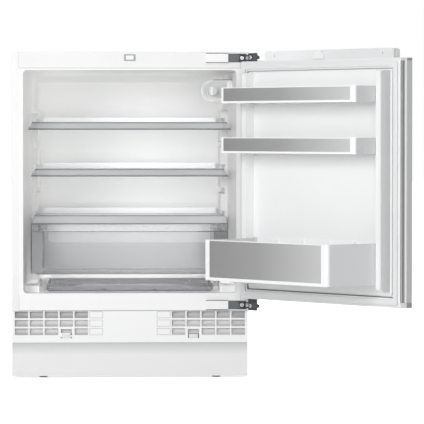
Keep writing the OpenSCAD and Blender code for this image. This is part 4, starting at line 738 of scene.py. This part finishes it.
# Levelling foot: black disc and nut, plated stem with a thread
def footShade(name):
    finish = {"black": (0.015, 0.015, 0.016), "steel": (0.5, 0.51, 0.52), "stemFrom": 0.0101,
              "pitch": 0.0015, "threadDepth": 0.0006, "rough": (0.5, 0.32), "metallic": 0.8}
    shade = Shade(name)
    x, y, z = shade.spot()
    stem = z > finish["stemFrom"]
    thread = shade.wave(z * (2 * math.pi / finish["pitch"])) * stem
    tone = shade.mix(stem, finish["black"], finish["steel"])
    return shade.finish(colour=tone, roughness=shade.pick(stem, *finish["rough"]),
                        metallic=stem * finish["metallic"], normal=shade.bump(thread, finish["threadDepth"]))


# Each finish: the function that builds it and its values
recipes = {
    "whitePaint": (paint, (0.81, 0.81, 0.81)),
    "skinPaint": (paint, (0.53, 0.535, 0.54)),
    "plinthPaint": (plinthShade,),
    "fasciaPlastic": (frontShade,),
    "grillePlastic": (grilleShade,),
    "coverPlastic": (coverShade,),
    "railPlastic": (railShade,),
    "linerPlastic": (linerShade,),
    "doorLinerPlastic": (doorLinerShade,),
    "binPlastic": (binShade,),
    "greyPlastic": (plastic, (0.55, 0.56, 0.575), 0.45),
    "capPlastic": (capShade,),
    "whitePlastic": (plastic, (0.84, 0.845, 0.85), 0.3),
    "blackPlastic": (plastic, (0.02, 0.02, 0.022), 0.42),
    "crisperPlastic": (crisperShade,),
    "trayPlastic": (trayShade,),
    "lampPlastic": (lampShade,),
    "switchPlastic": (switchShade,),
    "knobPlastic": (knobShade,),
    "lensPlastic": (plastic, (0.78, 0.785, 0.79), 0.15, 0.7),
    "shelfGlass": (clearGlass, (0.8, 0.88, 0.85, 1.0), 0.28),
    "binAluminium": (binMetal,),
    "shelfTrim": (trimShade,),
    "coldPlate": (brushed, (0.7, 0.71, 0.72), (60, 1, 1)),
    "hingeSteel": (hingeShade, (0.17, 0.182, 0.19), (0.1, 0.11, 0.118)),
    "bracketSteel": (hingeShade, (0.06, 0.065, 0.07), (0.06, 0.065, 0.07)),
    "darkSteel": (plated, (0.045, 0.048, 0.052), 0.4, 0.4, 0.003),
    "zincSheet": (plated, (0.55, 0.56, 0.57)),
    "screwSteel": (plated, (0.62, 0.63, 0.64), 0.28, 0.8, 0.002),
    "recessShade": (rubber, (0.02, 0.022, 0.024)),
    "copperPipe": (plated, (0.72, 0.4, 0.25), 0.3, 0.9, 0.002),
    "blackEnamel": (paint, (0.02, 0.02, 0.022), 0.35, 0.002),
    "gasketRubber": (gasketShade,),
    "blackRubber": (rubber, (0.02, 0.02, 0.02)),
    "foamFill": (insulation, (0.8, 0.7, 0.45)),
    "board": (plastic, (0.8, 0.82, 0.8), 0.5),
    "footFinish": (footShade,),
}
finishes = {name: build(name, *values) for name, (build, *values) in recipes.items()}
dressed = {
    "whitePaint": ["left_side", "right_side", "top_panel"],
    "skinPaint": ["door_skin"],
    "plinthPaint": ["plinth_panel"],
    "fasciaPlastic": ["top_fascia", "bottom_rail"],
    "grillePlastic": ["vent_grille"],
    "coverPlastic": ["hinge_covers"],
    "railPlastic": ["panel_rail"],
    "linerPlastic": ["inner_liner"],
    "doorLinerPlastic": ["door_liner"],
    "binPlastic": ["top_bin", "middle_bin", "bottom_bin"],
    "capPlastic": ["door_caps"],
    "whitePlastic": ["start_relay", "switch_actuator", "switch_plunger"],
    "switchPlastic": ["switch_housing"],
    "greyPlastic": ["fan_shroud", "evaporation_tray", "fan_rotor"],
    "blackPlastic": ["fan_motor", "power_inlet"],
    "footFinish": ["front_left_foot", "front_right_foot", "rear_left_foot", "rear_right_foot"],
    "crisperPlastic": ["crisper_drawer"],
    "trayPlastic": ["floor_tray"],
    "lampPlastic": ["lamp_housing"],
    "knobPlastic": ["thermostat_knob"],
    "lensPlastic": ["lamp_lens"],
    "shelfGlass": ["upper_shelf", "lower_shelf", "crisper_cover"],
    "binAluminium": ["top_bin_trim", "middle_bin_trim", "bottom_bin_trim"],
    "shelfTrim": ["upper_shelf_trim", "lower_shelf_trim", "crisper_cover_trim"],
    "coldPlate": ["evaporator_plate"],
    "hingeSteel": ["hinge_bases"],
    "bracketSteel": ["door_brackets"],
    "darkSteel": ["hinge_links_outer", "hinge_links_inner"],
    "zincSheet": ["rear_panel", "base_pan"],
    "copperPipe": ["refrigerant_lines", "filter_drier"],
    "blackEnamel": ["compressor", "condenser_coil"],
    "gasketRubber": ["door_gasket"],
    "blackRubber": ["compressor_grommets", "drain_tube"],
    "foamFill": ["foam_insulation", "door_foam"],
    "board": ["lamp_board"],
}
for finish, nodes in dressed.items():
    for node in nodes:
        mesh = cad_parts[node].data
        mesh.materials.clear()
        mesh.materials.append(finishes[finish])
print("CAD nodes dressed:", sum(len(nodes) for nodes in dressed.values()))


# Geometry Nodes: a small maker for trees with named inputs
class Grower:
    def __init__(self, name, **inputs):
        self.tree = bpy.data.node_groups.new(name, "GeometryNodeTree")
        self.tree.interface.new_socket("Geometry", in_out="INPUT", socket_type="NodeSocketGeometry")
        self.tree.interface.new_socket("Geometry", in_out="OUTPUT", socket_type="NodeSocketGeometry")
        for kind, labels in inputs.items():
            for label in labels:
                self.tree.interface.new_socket(label, in_out="INPUT", socket_type="NodeSocket" + kind)
        self.given = self.tree.nodes.new("NodeGroupInput")

    def node(self, kind, settings=None, inputs=None, output=0):
        item = self.tree.nodes.new(kind)
        for key, value in (settings or {}).items():
            setattr(item, key, value)
        for key, value in (inputs or {}).items():
            for part in value if isinstance(value, list) else [value]:
                if isinstance(part, bpy.types.NodeSocket):
                    self.tree.links.new(part, item.inputs[key])
                else:
                    item.inputs[key].default_value = part
        return item.outputs[output]

    def want(self, label):
        return self.given.outputs[label]

    def times(self, a, b):
        return self.node("ShaderNodeMath", {"operation": "MULTIPLY"}, {0: a, 1: b})

    def close(self, shape, finishes):
        shape = self.node("GeometryNodeRealizeInstances", None, {0: shape})
        for label, choice in finishes:
            values = {"Geometry": shape, "Material": self.want(label)}
            if choice is not None:
                values["Selection"] = choice
            shape = self.node("GeometryNodeSetMaterial", None, values)
        self.tree.links.new(shape, self.tree.nodes.new("NodeGroupOutput").inputs[0])
        return self.tree


# Grows a tree on points and leaves a plain mesh, moved by shift and carried by body
def grow(name, points, tree, values, body, shift=None):
    mesh = bpy.data.meshes.new(name + "Seed")
    mesh.from_pydata([tuple(point) for point in points], [], [])
    seed = bpy.data.objects.new(name + "Seed", mesh)
    scene.collection.objects.link(seed)
    modifier = seed.modifiers.new(tree.name, "NODES")
    modifier.node_group = tree
    for item in tree.interface.items_tree:
        if item.in_out == "INPUT" and item.name in values:
            modifier[item.identifier] = values[item.name]
    graph = bpy.context.evaluated_depsgraph_get()
    grown = bpy.data.meshes.new_from_object(seed.evaluated_get(graph), preserve_all_data_layers=True,
                                            depsgraph=graph)
    seed.modifiers.clear()
    bpy.data.objects.remove(seed)
    place(name, grown, body, shift)


def place(name, mesh, body, shift=None):
    if shift is not None:
        mesh.transform(shift)
    piece = bpy.data.objects.new(name, mesh)
    mesh.name = name
    scene.collection.objects.link(piece)
    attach(piece, body)


swing = Vector((door["swingX"], door["swingY"], 0))
doorShift = Matrix.Translation(swing) @ Matrix.Rotation(door["turn"], 4, "Z") @ Matrix.Translation(-swing)


# Screw: washer, tapered head and a cross recess drawn as dark bars of painted shade; shares of the head's
# radius and height
screwShape = {"seatHeight": 0.3, "top": 0.68, "slotLength": 1.1, "slotWidth": 0.22, "slotDepth": 0.2,
              "slotMiddle": 0.93, "seatSides": 28, "headSides": 24}


def screwTree():
    maker = Grower("screws", Float=["Radius", "Height", "Washer"], Vector=["Turn"],
                   Material=["Head", "Dark"])
    radius, height = maker.want("Radius"), maker.want("Height")

    def raised(paintedLightShare):
        return maker.node("ShaderNodeCombineXYZ", None, {2: maker.times(height, paintedLightShare)})

    seat = maker.node("GeometryNodeMeshCylinder", None,
                      {"Vertices": screwShape["seatSides"], "Radius": maker.want("Washer"),
                       "Depth": maker.times(height, screwShape["seatHeight"])})
    dark = [maker.node("GeometryNodeTransform", None,
                       {0: seat, "Translation": raised(screwShape["seatHeight"] / 2)})]
    head = maker.node("GeometryNodeMeshCone", None,
                      {"Vertices": screwShape["headSides"], "Radius Bottom": radius,
                       "Radius Top": maker.times(radius, screwShape["top"]), "Depth": height})
    slot = maker.node("ShaderNodeCombineXYZ", None, {0: maker.times(radius, screwShape["slotLength"]),
                                                     1: maker.times(radius, screwShape["slotWidth"]),
                                                     2: maker.times(height, screwShape["slotDepth"])})
    for turned in (0.0, math.pi / 2):
        bar = maker.node("GeometryNodeMeshCube", None, {"Size": slot})
        dark.append(maker.node("GeometryNodeTransform", None, {
            0: bar, "Rotation": (0, 0, turned), "Translation": raised(screwShape["slotMiddle"])}))
    joined = maker.node("GeometryNodeJoinGeometry", None, {0: dark})
    marked = maker.node("GeometryNodeStoreNamedAttribute", {"data_type": "BOOLEAN", "domain": "FACE"},
                        {"Geometry": joined, "Name": "recess", "Value": True})
    whole = maker.node("GeometryNodeJoinGeometry", None, {0: [head, marked]})
    many = maker.node("GeometryNodeInstanceOnPoints", None,
                      {"Points": maker.want("Geometry"), "Instance": whole, "Rotation": maker.want("Turn")})
    mark = maker.node("GeometryNodeInputNamedAttribute", {"data_type": "BOOLEAN"}, {"Name": "recess"})
    return maker.close(many, [("Head", None), ("Dark", mark)])


screws = {
    "hinge": {"Radius": 0.006, "Height": 0.0018, "Washer": 0.0076},
    "panel": {"Radius": 0.0034, "Height": 0.0012, "Washer": 0.004},
}
screwPlaces = {"hinge": (0.284, -0.2543), "bracket": (0.261, -0.2585), "heights": [0.8108, 0.185],
               "rearFace": 0.2509, "rearRows": [0.181, 0.816], "rearAcross": [-0.28, -0.14, 0.0, 0.14, 0.28],
               "rearSides": [0.34, 0.5, 0.66]}
facing = {"front": (math.pi / 2, 0, 0), "back": (-math.pi / 2, 0, 0)}
screwGrower = screwTree()


def setScrews(name, kind, points, way, body, shift=None):
    values = dict(screws[kind], Turn=facing[way], Head=finishes["screwSteel"], Dark=finishes["recessShade"])
    grow(name, points, screwGrower, values, body, shift)


hingePoints = [(*screwPlaces["hinge"], z) for z in screwPlaces["heights"]]
bracketPoints = [(*screwPlaces["bracket"], z) for z in screwPlaces["heights"]]
rearY, rearAcross = screwPlaces["rearFace"], screwPlaces["rearAcross"]
rearPoints = [(x, rearY, z) for x in rearAcross for z in screwPlaces["rearRows"]]
rearPoints += [(x, rearY, z) for x in (rearAcross[0], rearAcross[-1]) for z in screwPlaces["rearSides"]]
setScrews("hingeScrews", "hinge", hingePoints, "front", "cabinet")
setScrews("bracketScrews", "hinge", bracketPoints, "back", "door", doorShift)
setScrews("rearScrews", "panel", rearPoints, "back", "cabinet")
print("screws set")


# Upright ribs inside the lamp's lens and along the panel rail, and the rear panel's pressed beads
def ribTree():
    maker = Grower("ribs", Float=["Width", "Depth", "Height"], Material=["Finish"])
    bar = maker.node("GeometryNodeMeshCube", None, {
        "Size": maker.node("ShaderNodeCombineXYZ", None,
                           {0: maker.want("Width"), 1: maker.want("Depth"), 2: maker.want("Height")})})
    many = maker.node("GeometryNodeInstanceOnPoints", None,
                      {"Points": maker.want("Geometry"), "Instance": bar})
    return maker.close(many, [("Finish", None)])


ribs = {
    "lens": {"Width": 0.0012, "Depth": 0.0012, "Height": 0.044, "pitch": 0.0045, "count": 7,
             "start": (0.2275, -0.1290, 0.729)},
    "rail": {"Width": 0.002, "Depth": 0.012, "Height": 0.017, "pitch": 0.032, "count": 14,
             "start": (-0.243, -0.271, 0.8125)},
    "rear": {"Width": 0.006, "Depth": 0.0012, "Height": 0.46, "pitch": 0.08, "count": 6,
             "start": (-0.2, 0.2513, 0.5)},
}
ribGrower = ribTree()


def setRibs(name, kind, finish, body, shift=None):
    values = dict(ribs[kind], Finish=finishes[finish])
    x, y, z = values["start"]
    points = [(x + i * values["pitch"], y, z) for i in range(values["count"])]
    grow(name, points, ribGrower, values, body, shift)


setRibs("lensRibs", "lens", "lensPlastic", "cabinet")
setRibs("railRibs", "rail", "fasciaPlastic", "door", doorShift)
setRibs("rearBeads", "rear", "zincSheet", "cabinet")
print("ribs set")


# Turned lips along the louvres' rear tops: they hide the view past each louvre and leave the air its way
lips = {"inner": 0.1052, "outer": 0.2924, "tops": [0.169, 0.1476, 0.1262], "foot": (-0.2394, -0.0029),
        "tip": (-0.2349, 0.0005), "sheet": 0.0008, "sag": 0.0009, "steps": 6}


def lipOutline(top):
    (startY, startZ), (endY, endZ) = lips["foot"], lips["tip"]
    lower, upper = [], []
    for step in range(lips["steps"] + 1):
        part = step / lips["steps"]
        y = startY + (endY - startY) * part
        z = top + startZ + (endZ - startZ) * part + lips["sag"] * math.sin(math.pi * part)
        lower.append((y, z))
        upper.append((y, z + lips["sheet"]))
    return lower + upper[::-1]


def closedSides(name, points, faces):
    mesh = bpy.data.meshes.new(name)
    mesh.from_pydata(points, [], faces)
    sides = bmesh.new()
    sides.from_mesh(mesh)
    bmesh.ops.recalc_face_normals(sides, faces=sides.faces)
    sides.to_mesh(mesh)
    sides.free()
    return mesh


# Caps and skin of one outline set at two stations of count points each, numbered from start
def drawnOut(start, count):
    near = list(range(start, start + count))
    far = [i + count for i in near]
    return [tuple(near), tuple(far[::-1])] + [
        (near[i], far[i], far[(i + 1) % count], near[(i + 1) % count]) for i in range(count)]


def setLips():
    points, faces = [], []
    for side in (-1, 1):
        for top in lips["tops"]:
            outline = lipOutline(top)
            faces += drawnOut(len(points), len(outline))
            points += [(side * x, y, z) for x in (lips["inner"], lips["outer"]) for y, z in outline]
    mesh = closedSides("louvreLips", points, faces)
    mesh.materials.append(finishes["grillePlastic"])
    place("louvreLips", mesh, "cabinet")


setLips()
print("louvre lips set")


# Web inside the panel rail's free end, behind its small window: the photograph shows that end closed
web = {"x": -0.2649, "sheet": 0.0009, "rear": -0.2612, "front": -0.2724, "low": 0.8034, "high": 0.8197,
       "round": 0.003, "steps": 3}


def webOutline():
    bend, steps = web["round"], web["steps"]
    front, rear, low, high = web["front"] + bend, web["rear"] - bend, web["low"] + bend, web["high"] - bend
    outline = []
    for start, y, z in ((180, front, low), (270, rear, low), (0, rear, high), (90, front, high)):
        for step in range(steps + 1):
            turn = math.radians(start + 90 * step / steps)
            outline.append((y + bend * math.cos(turn), z + bend * math.sin(turn)))
    return outline


def setRailWeb():
    outline = webOutline()
    points = [(x, y, z) for x in (web["x"], web["x"] + web["sheet"]) for y, z in outline]
    mesh = closedSides("railWeb", points, drawnOut(0, len(outline)))
    mesh.materials.append(finishes["railPlastic"])
    place("railWeb", mesh, "door", doorShift)


setRailWeb()
print("rail web set")


# Folded corner of each side panel: closes the top between the fascia and the top panel
flap = {"inner": 0.2815, "outer": 0.2991, "front": -0.2508, "rear": -0.2368, "top": 0.826, "sheet": 0.0008,
        "bend": 0.0012, "turnedDown": 0.006, "steps": 4}


def flapOutline():
    bend, top, sheet = flap["bend"], flap["top"], flap["sheet"]
    outer, inner = [], []
    for step in range(flap["steps"] + 1):
        turn = math.pi / 2 * step / flap["steps"]
        across, up = 1 - math.cos(turn), math.sin(turn)
        outer.append((flap["inner"] + bend * across, top - bend + bend * up))
        inner.append((flap["inner"] + sheet + (bend - sheet) * across, top - bend + (bend - sheet) * up))
    low = top - flap["turnedDown"]
    return ([(flap["inner"], low)] + outer + [(flap["outer"], top)]
            + [(flap["outer"], top - sheet)] + inner[::-1] + [(flap["inner"] + sheet, low)])


def setCornerFlap(name, side):
    outline = flapOutline()
    points = [(side * x, y, z) for y in (flap["front"], flap["rear"]) for x, z in outline]
    mesh = closedSides(name, points, drawnOut(0, len(outline)))
    mesh.materials.append(finishes["whitePaint"])
    place(name, mesh, "cabinet")


setCornerFlap("leftCornerFlap", -1)
setCornerFlap("rightCornerFlap", 1)
print("corner flaps set")
